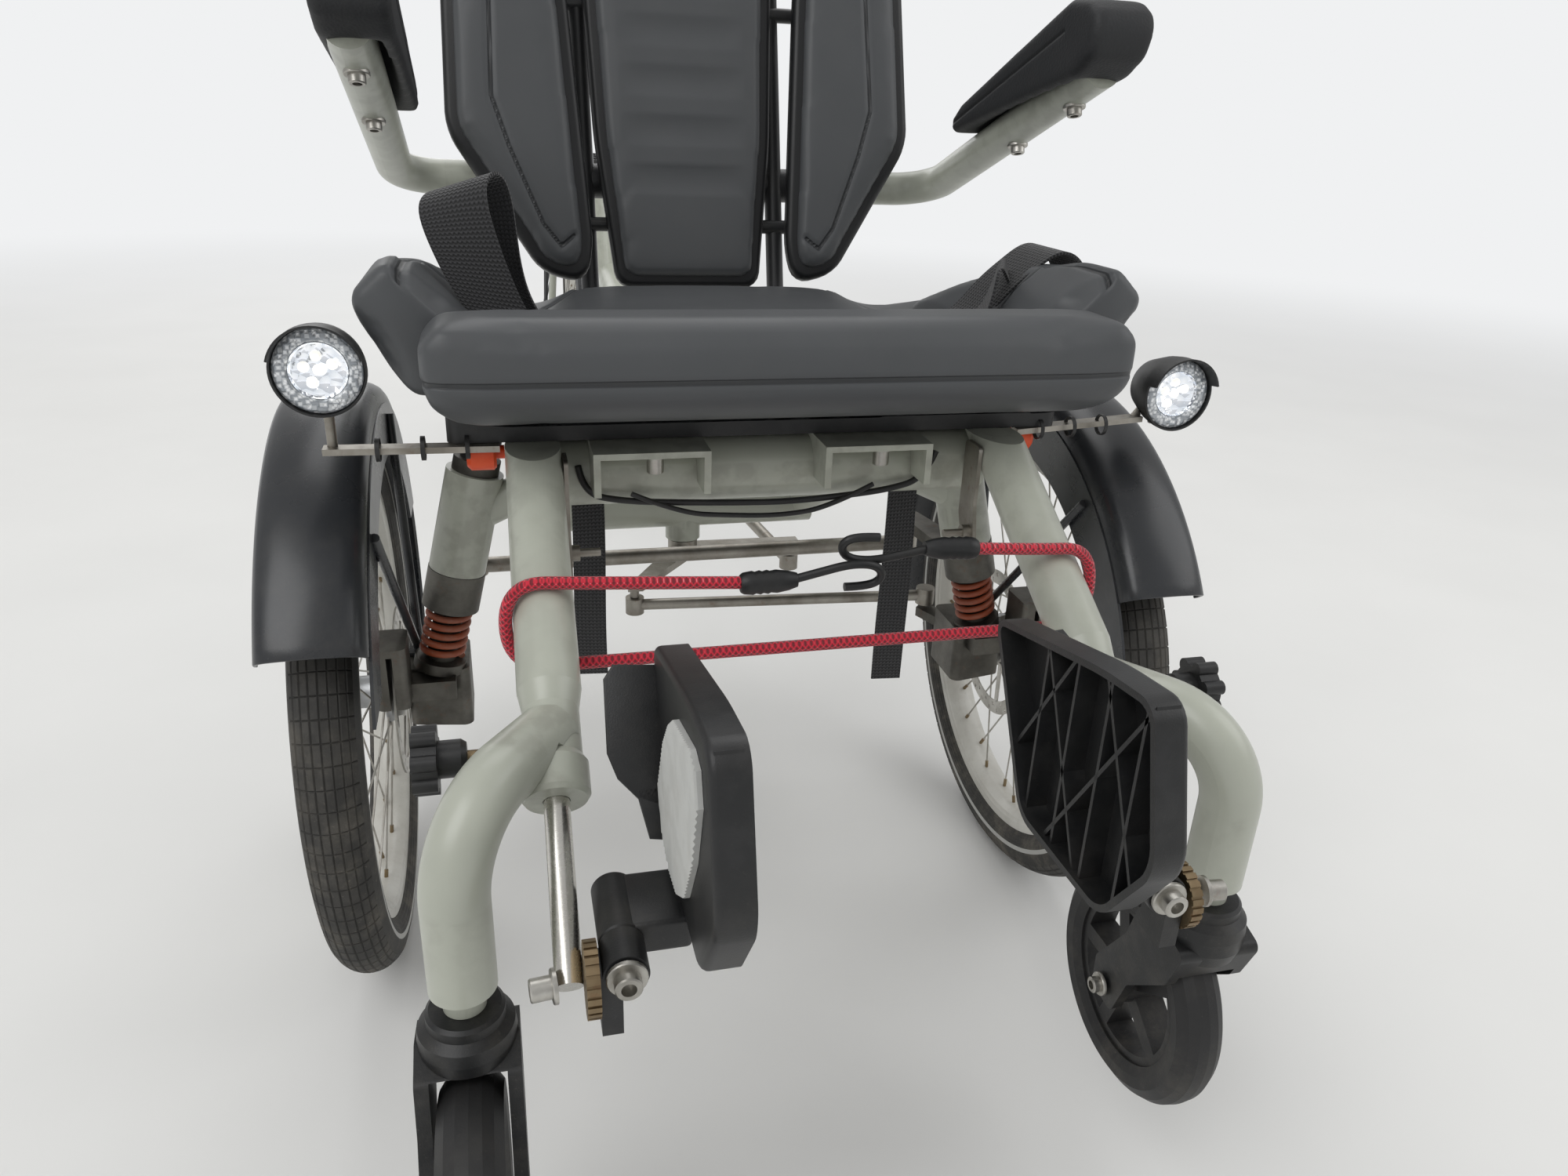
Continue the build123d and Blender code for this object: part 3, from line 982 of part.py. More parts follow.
# Saddle on its post
saddle_base = bracket + seat_tube_dir * ((SADDLE_Z - BRACKET_Z) / cos(radians(SEAT_TUBE_LEAN)))
with BuildPart() as seat_post:
    rod(seat_tube_top - seat_tube_dir * 120, saddle_base - seat_tube_dir * 50, 27.2)
    rod(saddle_base - seat_tube_dir * 56 - Vector(22, 0, 0), saddle_base - seat_tube_dir * 56 + Vector(22, 0, 0), 24)
finish(seat_post, "seat_post")
with BuildPart() as saddle:
    saddle_plane = Plane(origin=saddle_base - Vector(0, 0, 40))
    slab([(-18, -130), (18, -130), (30, -40), (88, 50), (98, 110), (70, 135), (-70, 135), (-98, 110),
          (-88, 50), (-30, -40)], saddle_plane, 45, corner=12)
finish(saddle, "saddle")

# Cranks and pedals
with BuildPart() as crankset:
    rod(bracket - Vector(CRANK_X, 0, 0), bracket + Vector(CRANK_X, 0, 0), SPINDLE_D)
    for side in (-1, 1):
        arm_plane = Plane(origin=bracket + Vector(side * CRANK_X - 7, 0, 0), x_dir=(0, 1, 0), z_dir=(1, 0, 0))
        reach = side * CRANK_L
        slab([(-side * 18, -15), (reach + side * 12, -10), (reach + side * 12, 10), (-side * 18, 15)],
             arm_plane, 14, corner=6)
        tip = bracket + Vector(side * CRANK_X, reach, 0)
        rod(tip, tip + Vector(side * 78, 0, 0), 12)
finish(crankset, "crankset")
for word, side in SIDES:
    with BuildPart() as pedal:
        centre = bracket + Vector(side * (CRANK_X + 44), side * CRANK_L, 0)
        with BuildSketch(Plane(origin=centre - Vector(0, 0, 12))) as body:
            RectangleRounded(62, 90, 10)
        extrude(body.sketch, amount=24)
        rod(centre - Vector(60, 0, 0), centre + Vector(60, 0, 0), 12 + 2 * RUN_FIT, mode=Mode.SUBTRACT)
    finish(pedal, f"pedal_{word}")

DECK_HALF = 66.0
DECK_REACH = 172.0
DECK_ROD = 9.0
# Closed chain case on the passenger's left side, carrier, rear mudguard
with BuildPart() as chain_case:
    case_plane = Plane(origin=bracket + Vector(54, 0, 0), x_dir=(0, 1, 0), z_dir=(1, 0, 0))
    reach = REAR_AXLE_Y - BRACKET_Y
    slab([(-70, -50), (-70, 50), (-40, 78), (20, 82), (reach, 42), (reach + 36, 20), (reach + 36, -20),
          (reach, -42), (20, -82), (-40, -78)], case_plane, 12, corner=12)
    rod(bracket, bracket + Vector(80, 0, 0), 46, mode=Mode.SUBTRACT)
    rod(rear_axle, rear_axle + Vector(80, 0, 0), 46, mode=Mode.SUBTRACT)
    chain_stay(1, STAY_D + 2, mode=Mode.SUBTRACT)
    seat_stay(1, SEAT_STAY_D + 2, mode=Mode.SUBTRACT)
finish(chain_case, "chain_case")

rear_plane = Plane(origin=rear_axle, x_dir=(0, 1, 0), z_dir=(1, 0, 0))
tyre("rear_tyre", rear_plane, REAR_R, REAR_TYRE_W, REAR_RIM_R)
with BuildPart() as rear_wheel:
    spoked_wheel(rear_plane, REAR_RIM_R, REAR_HUB_FLANGE_R, REAR_HUB_R, REAR_HUB_W,
                 REAR_AXLE_D + 2 * RUN_FIT, 28)
finish(rear_wheel, "rear_wheel")
with BuildPart() as rear_axle_rod:
    rod(rear_axle - Vector(92, 0, 0), rear_axle + Vector(92, 0, 0), REAR_AXLE_D)
finish(rear_axle_rod, "rear_axle")

with BuildPart() as rear_mudguard:
    guard_r = REAR_R + 18
    section_plane = Plane(origin=rear_axle, x_dir=(0, -cos(radians(10)), sin(radians(10))),
                          z_dir=Vector(0, -sin(radians(10)), -cos(radians(10))))
    with BuildSketch(section_plane) as section:
        with BuildLine():
            Polyline((guard_r - 14, -29), (guard_r - 2, -25), (guard_r, 0), (guard_r - 2, 25), (guard_r - 14, 29),
                     (guard_r - 15, 27), (guard_r - 4, 23), (guard_r - 2, 0), (guard_r - 4, -23),
                     (guard_r - 15, -27), close=True)
        make_face()
    revolve(section.sketch, Axis(rear_axle, (1, 0, 0)), -160)
    for side in (-1, 1):
        rod(rear_axle + Vector(side * 84.6, 0, 0), rear_axle + Vector(side * 90, 0, 0), 20)
        for angle in (130, 152):
            tip = Vector(side * 28, -cos(radians(angle)) * (guard_r - 12), sin(radians(angle)) * (guard_r - 12))
            rod(rear_axle + Vector(side * 88.8, tip.Y * 0.03, tip.Z * 0.03), rear_axle + tip, 4.5)
        rod(rear_axle - Vector(95, 0, 0), rear_axle + Vector(95, 0, 0), REAR_AXLE_D + 2 * SEAT_GAP,
            mode=Mode.SUBTRACT)
finish(rear_mudguard, "rear_mudguard")

with BuildPart() as carrier:
    deck_z = REAR_R * 2 + 50
    deck = rear_axle + Vector(0, 0, deck_z - REAR_R)
    with BuildSketch(Plane(origin=deck)) as deck_face:
        RectangleRounded(2 * DECK_HALF, 2 * DECK_REACH, 24)
        RectangleRounded(2 * (DECK_HALF - DECK_ROD), 2 * (DECK_REACH - DECK_ROD), 15, mode=Mode.SUBTRACT)
        for y in (-56, 56):
            with Locations((0, y)):
                Rectangle(2 * DECK_HALF - 4, DECK_ROD)
        for x in (-22, 22):
            with Locations((x, 0)):
                Rectangle(DECK_ROD - 1, 2 * DECK_REACH - 4)
    extrude(deck_face.sketch, amount=DECK_ROD)
    for side in (-1, 1):
        for y in (-1, 1):
            rod(rear_axle + Vector(side * 81, 9 * y, 9),
                deck + Vector(side * (DECK_HALF - 4), 75 * y, DECK_ROD / 2), 7)
        rod(rear_axle + Vector(side * 77.5, 0, 0), rear_axle + Vector(side * 84, 0, 0), 36)
    rod(rear_axle - Vector(95, 0, 0), rear_axle + Vector(95, 0, 0), REAR_AXLE_D + 2 * SEAT_GAP,
        mode=Mode.SUBTRACT)
finish(carrier, "carrier")

# Elastic cord hooked round both legs
CORD_D = 8.5
CORD_Y = -315.0
CORD_DROP = 32.0
leg_slope = atan2(LEG_TOP[2] - LEG_FOOT[2], LEG_TOP[1] - LEG_FOOT[1])
cord_z = LEG_TOP[2] - (LEG_TOP[1] - CORD_Y) * tan(leg_slope)
wrap_r = LEG_D / 2 + CORD_D / 2 + 1
over = Vector(0, -sin(leg_slope), cos(leg_slope)) * wrap_r
wrap_x = LEG_TOP[0] + 1.5 + wrap_r
loop_mid = at(0, CORD_Y, cord_z)
hook_low = loop_mid + over + Vector(-42, -6, -8)
hook_high = loop_mid + over + Vector(98, -6, 8)
back_mid = loop_mid - over - Vector(0, cos(leg_slope), sin(leg_slope)) * CORD_DROP
with BuildPart() as bungee_cord:
    bent_tube([hook_low, loop_mid + over - Vector(wrap_x, 0, 0), back_mid - Vector(wrap_x, 0, 0),
               back_mid + Vector(wrap_x, 0, 0), loop_mid + over + Vector(wrap_x, 0, 0), hook_high],
              CORD_D, [wrap_r - 0.5] * 4)
finish(bungee_cord, "bungee_cord")
with BuildPart() as bungee_hooks:
    middle = (hook_low + hook_high) * 0.5
    rod(hook_low + Vector(4 * SEAT_GAP, 0, 0), middle, 13)
    rod(middle, hook_high - Vector(4 * SEAT_GAP, 0, 0), 12)
finish(bungee_hooks, "bungee_hooks")

# Webbing: a strap over each wing and the ends that hang under the seat
WEB_T = 2.5
with BuildPart() as seat_straps:
    for side, web_y, tail in ((-1, -90, [(208, 634), (219, 660), (229, 688), (226, 703), (211, 710)]),
                              (1, -80, [(221, 643.5), (241, 663), (256, 673), (268, 673)])):
        over_plane = Plane(origin=at(0, web_y, 0), x_dir=(1, 0, 0), z_dir=(0, -1, 0))
        over = [(172, 608.2), (191.5, 608.2)] + tail
        ribbon([(side * u, v) for u, v in over], over_plane, 48, WEB_T)
    for hang_x, hang_y, low_z in ((-133, -100, 305), (132, -131, 292)):
        hang_plane = Plane(origin=at(hang_x, 0, 0), x_dir=(0, 1, 0), z_dir=(1, 0, 0))
        top_z = SHELL_LOW_Z - SEAT_GAP
        ribbon([(hang_y, top_z), (hang_y + 1, 450), (hang_y - 2, 380), (hang_y + 2, low_z)], hang_plane, 27, WEB_T)
finish(seat_straps, "seat_straps")

# Orange pull knobs of the seat's catches, beside the leg tops
PULL_D = 26.0
with BuildPart() as pull_knobs:
    for word, side in SIDES:
        root_x = LEG_TOP[0] + LEG_D / 2 + SEAT_GAP
        pull_z = SHELL_LOW_Z - SEAT_GAP - PULL_D / 2
        pull_plane = Plane(origin=at(side * root_x, LEG_TOP[1] + 10, pull_z), x_dir=(0, 1, 0), z_dir=(side, 0, 0))
        turn_about(pull_plane, [(0, 0), (5, 0), (5, 6), (PULL_D / 2 - 2, 6), (PULL_D / 2, 8), (PULL_D / 2, 24),
                                (PULL_D / 2 - 3, 27), (0, 27)])
finish(pull_knobs, "pull_knobs")
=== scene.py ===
"""Front-passenger tricycle: fittings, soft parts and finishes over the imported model."""

import bmesh
import bpy
import json
from contextlib import contextmanager
from math import atan2, cos, pi, radians, sin, sqrt
from mathutils import Matrix, Vector


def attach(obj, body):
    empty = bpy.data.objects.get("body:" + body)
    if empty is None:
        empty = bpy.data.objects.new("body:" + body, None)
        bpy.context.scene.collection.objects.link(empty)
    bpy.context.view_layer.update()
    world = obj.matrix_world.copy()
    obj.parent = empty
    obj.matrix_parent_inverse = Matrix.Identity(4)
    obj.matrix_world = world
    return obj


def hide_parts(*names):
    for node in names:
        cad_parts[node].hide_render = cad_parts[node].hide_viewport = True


bl_info = {
    "name": "Front-passenger tricycle",
    "version": (1, 0, 0),
    "blender": (4, 5, 0),
    "location": "3D View > Sidebar > Tricycle",
    "description": "Tyres, wheels, upholstery, straps, cords, lamps and finishes of a passenger tricycle",
    "category": "Object",
}

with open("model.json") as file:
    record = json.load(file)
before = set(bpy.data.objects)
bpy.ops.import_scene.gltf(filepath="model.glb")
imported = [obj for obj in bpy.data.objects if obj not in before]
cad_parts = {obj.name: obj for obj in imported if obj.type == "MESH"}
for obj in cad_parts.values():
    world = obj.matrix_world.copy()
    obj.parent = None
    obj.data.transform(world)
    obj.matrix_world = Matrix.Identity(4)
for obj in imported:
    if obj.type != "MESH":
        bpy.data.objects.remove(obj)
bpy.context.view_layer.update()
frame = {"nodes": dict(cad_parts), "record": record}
NODES = frame["nodes"]

FRONT_AXLE_Y = -0.7
SIDES = (("left", 1), ("right", -1))
RECLINE = radians(15)
KINGPIN_LEAN = radians(13.5)
CLOTH_FRAMES = 20

# Places that several pieces share, in millimetres as at() takes them
WHEEL_X, WHEEL_Z = 338, 252.5
REAR_AXLE = (0, 1690, 300)
LEG_TOP_Y, LEG_TOP_Z = -178, 557
LEG_FOOT_Y, LEG_FOOT_Z = -523, 348
FOLD_X, FOLD_Z = 154, 367
PLATE_Y = -505.5
ARM_Y, ARM_Z = -100, 812


# Places and frames

def at(x, y, z):
    """A point in millimetres, counted from the front axle line, as a place in metres."""
    return Vector((x / 1000, y / 1000 + FRONT_AXLE_Y, z / 1000))


def tone(red, green, blue):
    """A colour as it is seen on a screen, turned into a shader colour."""
    parts = []
    for value in (red, green, blue):
        share = value / 255
        parts.append(share / 12.92 if share <= 0.04045 else ((share + 0.055) / 1.055) ** 2.4)
    return (*parts, 1.0)


def axes(origin, x_dir, z_dir):
    """The matrix of a frame with its origin, x direction and z direction."""
    z = Vector(z_dir).normalized()
    x = Vector(x_dir)
    x = (x - z * x.dot(z)).normalized()
    y = z.cross(x)
    return Matrix((
        (x.x, y.x, z.x, origin[0]),
        (x.y, y.y, z.y, origin[1]),
        (x.z, y.z, z.z, origin[2]),
        (0, 0, 0, 1),
    ))


def looking(origin, direction):
    """A frame whose z axis looks in a direction."""
    direction = Vector(direction)
    side = Vector((0, 0, 1)) if abs(direction.normalized().z) < 0.9 else Vector((1, 0, 0))
    return axes(origin, side.cross(direction), direction)


# Modelling by operators

# In metres: what counts as on the axis, as the same place and as level with a place
AXIS_R = 1e-5
SAME = 1e-6
NEAR = 1e-5


def free():
    """Object mode with nothing selected."""
    if bpy.context.object and bpy.context.object.mode != "OBJECT":
        bpy.ops.object.mode_set(mode="OBJECT")
    bpy.ops.object.select_all(action="DESELECT")


def named(name):
    """The object just added, with its name."""
    piece = bpy.context.object
    piece.name = name
    piece.data.name = name
    return piece


def pick(piece):
    """Only this piece selected and active."""
    free()
    piece.select_set(True)
    bpy.context.view_layer.objects.active = piece


@contextmanager
def editing(piece):
    """Edit mode on one piece, and object mode again after it."""
    pick(piece)
    bpy.ops.object.mode_set(mode="EDIT")
    yield
    bpy.ops.object.mode_set(mode="OBJECT")


def everything():
    """In edit mode, select the whole mesh."""
    bpy.ops.mesh.select_all(action="SELECT")


def outwards():
    """In edit mode, turn the selected faces outwards."""
    bpy.ops.mesh.normals_make_consistent(inside=False)


def bevel(offset, steps, clamp=True):
    """In edit mode, round the selected edges."""
    bpy.ops.mesh.bevel(offset=offset, segments=steps, affect="EDGES", clamp_overlap=clamp)


def slice_by(place, normal, **kept):
    """In edit mode, cut the whole mesh by a plane."""
    everything()
    bpy.ops.mesh.bisect(plane_co=place, plane_no=normal, **kept)


def choose(piece, test, kind="FACE"):
    """In edit mode, select the faces, edges or vertices that pass a test."""
    bpy.ops.mesh.select_mode(type=kind)
    bpy.ops.mesh.select_all(action="DESELECT")
    mesh = bmesh.from_edit_mesh(piece.data)
    parts = {"FACE": mesh.faces, "EDGE": mesh.edges, "VERT": mesh.verts}[kind]
    for part in parts:
        if test(part):
            part.select_set(True)
    mesh.select_flush_mode()
    bmesh.update_edit_mesh(piece.data)


def level(edge):
    """Whether an edge lies level in its local frame."""
    return abs(edge.verts[0].co.z - edge.verts[1].co.z) < SAME


def put(piece, matrix):
    """Set a finished piece in its frame, with its place in its mesh."""
    pick(piece)
    piece.matrix_world = matrix
    bpy.ops.object.transform_apply(location=True, rotation=True, scale=True)
    return piece


def modify(piece, name, kind, **settings):
    """Add a modifier with its settings and apply it."""
    made = piece.modifiers.new(name, kind)
    for key, value in settings.items():
        setattr(made, key, value)
    pick(piece)
    bpy.ops.object.modifier_apply(modifier=made.name)


def join(name, pieces):
    """One piece out of several."""
    free()
    for piece in pieces:
        piece.select_set(True)
    bpy.context.view_layer.objects.active = pieces[0]
    if len(pieces) > 1:
        bpy.ops.object.join()
    return named(name)


def copy(piece, name, matrix):
    """A copy with its own mesh, moved by a matrix."""
    pick(piece)
    bpy.ops.object.duplicate()
    return put(named(name), matrix)


def turned(name, profile, segments=48, ring=False):
    """A turned piece about its local z, from (radius, height) pairs in metres."""
    free()
    steps = [(max(radius, AXIS_R), height) for radius, height in profile]
    radius, height = steps[0]
    bpy.ops.mesh.primitive_circle_add(vertices=segments, radius=radius, location=(0, 0, height),
                                      fill_type="NOTHING")
    piece = named(name)
    put(piece, Matrix.Translation((0, 0, height)))
    with editing(piece):
        everything()
        for next_radius, next_height in steps[1:] + (steps[:1] if ring else []):
            bpy.ops.mesh.extrude_edges_move(TRANSFORM_OT_translate={"value": (0, 0, next_height - height)})
            bpy.ops.transform.resize(value=(next_radius / radius, next_radius / radius, 1),
                                     center_override=(0, 0, next_height))
            radius, height = next_radius, next_height
        everything()
        bpy.ops.mesh.remove_doubles(threshold=0.00003)
        outwards()
    return piece


def block(name, size, corner=0.0, steps=3):
    """A box about its local origin with rounded edges."""
    free()
    bpy.ops.mesh.primitive_cube_add(size=1)
    piece = named(name)
    piece.scale = size
    bpy.ops.object.transform_apply(scale=True)
    if corner:
        with editing(piece):
            everything()
            bevel(corner, steps)
    return piece


def bar(name, start, end, radius, sides=16):
    """A round bar between two places, its ends chamfered."""
    run = Vector(end) - Vector(start)
    half = run.length / 2
    free()
    bpy.ops.mesh.primitive_cylinder_add(vertices=sides, radius=radius, depth=run.length)
    piece = named(name)
    with editing(piece):
        choose(piece, lambda e: abs(abs(e.verts[0].co.z) - half) < SAME and level(e), "EDGE")
        bevel(min(radius * 0.12, 0.001), 1, clamp=False)
    return put(piece, looking((Vector(start) + Vector(end)) / 2, run))


def cut_outline(piece, outline):
    """Cut a box to a convex outline drawn in its local xy plane."""
    sides = list(zip(outline, outline[1:] + outline[:1]))
    turn = 1 if sum(a[0] * b[1] - b[0] * a[1] for a, b in sides) > 0 else -1
    with editing(piece):
        for start, end in sides:
            away = Vector((end[1] - start[1], start[0] - end[0], 0)) * turn
            slice_by((start[0], start[1], 0), away.normalized(), use_fill=True, clear_outer=True)


def drawn_in(outline, reach):
    """A convex outline with its sides moved inwards."""
    middle = sum((Vector(spot) for spot in outline), Vector((0, 0))) / len(outline)
    inner = []
    for number, spot in enumerate(outline):
        here = Vector(spot)
        one = (here - Vector(outline[number - 1])).normalized()
        two = (Vector(outline[(number + 1) % len(outline)]) - here).normalized()
        inwards = Vector((-(one + two).y, (one + two).x)).normalized()
        if (middle - here).dot(inwards) < 0:
            inwards = -inwards
        inner.append(tuple(here + inwards * reach / max(0.5, abs(Vector((-one.y, one.x)).dot(inwards)))))
    return inner


def outline_box(name, outline, thickness):
    """A plate with an outline in the local xy plane, from z = -thickness to 0."""
    low = [min(p[k] for p in outline) for k in (0, 1)]
    high = [max(p[k] for p in outline) for k in (0, 1)]
    piece = block(name, (high[0] - low[0] + 0.02, high[1] - low[1] + 0.02, thickness))
    piece.location = ((low[0] + high[0]) / 2, (low[1] + high[1]) / 2, -thickness / 2)
    bpy.ops.object.transform_apply(location=True)
    cut_outline(piece, outline)
    return piece


def rounded_plate(name, outline, thickness, corner, rim, both=True):
    """A plate whose upright edges and rims are rounded, each by (offset, steps).

    The rim is rounded round the plate's upper face, and round its lower face too if both is set.
    """
    def upright(edge):
        one, two = (vertex.co for vertex in edge.verts)
        return abs(one.z - two.z) > 1e-4 and (one.xy - two.xy).length < NEAR

    def on_rim(edge):
        height = edge.verts[0].co.z
        return level(edge) and (abs(height) < NEAR or (both and abs(height + thickness) < NEAR))

    piece = outline_box(name, outline, thickness)
    for test, rounding in ((upright, corner), (on_rim, rim)):
        if rounding:
            with editing(piece):
                choose(piece, test, "EDGE")
                bevel(*rounding)
    return piece


def swell(piece, voxel, pressure, cap, fine=True):
    """Blow a closed pad up a little, like foam under its skin, and subdivide its mesh once."""
    modify(piece, "Even skin", "REMESH", mode="VOXEL", voxel_size=voxel)
    bpy.ops.object.shade_smooth()
    start = [v.co.copy() for v in piece.data.vertices]
    cloth = piece.modifiers.new("Foam", "CLOTH")
    for key, value in {"quality": 4, "mass": 0.3, "tension_stiffness": 15, "compression_stiffness": 15,
                       "bending_stiffness": 0.5, "use_pressure": True,
                       "uniform_pressure_force": pressure}.items():
        setattr(cloth.settings, key, value)
    cloth.settings.effector_weights.gravity = 0
    cloth.point_cache.frame_start = 1
    cloth.point_cache.frame_end = CLOTH_FRAMES
    scene = bpy.context.scene
    for number in range(1, CLOTH_FRAMES + 1):
        scene.frame_set(number)
    pick(piece)
    bpy.ops.object.modifier_apply(modifier=cloth.name)
    scene.frame_set(1)
    for vertex, before in zip(piece.data.vertices, start):
        move = vertex.co - before
        if move.length > cap:
            vertex.co = before + move.normalized() * cap
    if fine:
        modify(piece, "Finer", "SUBSURF", levels=1, render_levels=1)


def distance_to_path(point, path):
    """How far a flat point lies from a line of points."""
    best = 1e9
    for a, b in zip(path, path[1:]):
        run = Vector((b[0] - a[0], b[1] - a[1]))
        share = Vector((point[0] - a[0], point[1] - a[1])).dot(run) / max(run.dot(run), 1e-12)
        share = min(1, max(0, share))
        near = Vector((a[0] + run.x * share, a[1] + run.y * share))
        best = min(best, (Vector((point[0], point[1])) - near).length)
    return best


def seam(piece, distance, depth, width=0.006):
    """Press a seam into a pad and keep each point's distance from it as an attribute, along which the foam
    finish paints shade.
    """
    mesh = piece.data
    if "seam" not in mesh.attributes:
        kept = mesh.attributes.new("seam", "FLOAT", "POINT")
        kept.data.foreach_set("value", [1.0] * len(mesh.vertices))
    values = mesh.attributes["seam"].data
    moves = []
    for vertex in mesh.vertices:
        away = distance(vertex)
        if away < values[vertex.index].value:
            values[vertex.index].value = away
        if away < width:
            moves.append((vertex.index, -vertex.normal * depth * (1 - (away / width) ** 2)))
    for index, move in moves:
        mesh.vertices[index].co += move


# Shader building blocks

def plug(tree, socket, value):
    """Link a value to a socket, or keep it there as a constant."""
    if isinstance(value, bpy.types.NodeSocket):
        tree.links.new(value, socket)
    else:
        socket.default_value = value


def add(tree, kind, links=None, **settings):
    """Add a shader node with its settings and inputs."""
    node = tree.nodes.new("ShaderNode" + kind)
    for key, value in settings.items():
        setattr(node, key, value)
    for socket, value in (links or {}).items():
        plug(tree, node.inputs[socket], value)
    return node


def feed(tree, node, **links):
    """Fill a node's inputs by their labels, with underscores for spaces."""
    for label, value in links.items():
        plug(tree, node.inputs[label.replace("_", " ")], value)


def maths(tree, operation, first, second=0.0):
    return add(tree, "Math", {0: first, 1: second}, operation=operation).outputs[0]


def plus(tree, first, second):
    return maths(tree, "ADD", first, second)


def minus(tree, first, second):
    return maths(tree, "SUBTRACT", first, second)


def times(tree, first, second):
    return maths(tree, "MULTIPLY", first, second)


def raised(tree, start, *shares):
    """A start value to which masks are added, each times its share."""
    for mask, share in shares:
        start = plus(tree, start, times(tree, mask, share))
    return start


def ramp(tree, value, low, high, start=0.0, end=1.0):
    """A smooth step from start to end, as value goes from low to high."""
    links = {"Value": value, "From Min": low, "From Max": high, "To Min": start, "To Max": end}
    return add(tree, "MapRange", links, interpolation_type="SMOOTHSTEP").outputs[0]


def blend(tree, share, first, second):
    """Mix two colours."""
    return add(tree, "Mix", {0: share, 6: first, 7: second}, data_type="RGBA").outputs[2]


def object_place(tree):
    return add(tree, "TexCoord").outputs["Object"]


def noise(tree, scale, detail=2.0, roughness=0.5, where=None):
    """Cloudy noise, by the object's own coordinates unless a place is given."""
    return add(tree, "TexNoise", {
        "Vector": object_place(tree) if where is None else where, "Scale": scale, "Detail": detail,
        "Roughness": roughness}).outputs["Fac"]


def bump(tree, height, distance, strength=1.0, normal=None):
    """A normal from a height, on top of another normal where one is given."""
    links = {"Height": height, "Distance": distance, "Strength": strength}
    if normal is not None:
        links["Normal"] = normal
    return add(tree, "Bump", links).outputs[0]


def fed_by(shader, label):
    """What feeds an input of a shader so far."""
    return shader.inputs[label].links[0].from_socket


def group(name, inputs, outputs):
    """An empty node group: its tree, what its inputs give and its output node."""
    tree = bpy.data.node_groups.new(name, "ShaderNodeTree")
    kinds = {"value": "NodeSocketFloat", "colour": "NodeSocketColor", "vector": "NodeSocketVector"}
    for label, kind, default in inputs:
        socket = tree.interface.new_socket(name=label, in_out="INPUT", socket_type=kinds[kind])
        socket.default_value = default
    for label, kind in outputs:
        tree.interface.new_socket(name=label, in_out="OUTPUT", socket_type=kinds[kind])
    return tree, tree.nodes.new("NodeGroupInput").outputs, tree.nodes.new("NodeGroupOutput")


def place_group(tree, name, **inputs):
    """Place a node group in a material with its own values, and give what it puts out."""
    node = tree.nodes.new("ShaderNodeGroup")
    node.node_tree = bpy.data.node_groups[name]
    feed(tree, node, **inputs)
    return node.outputs


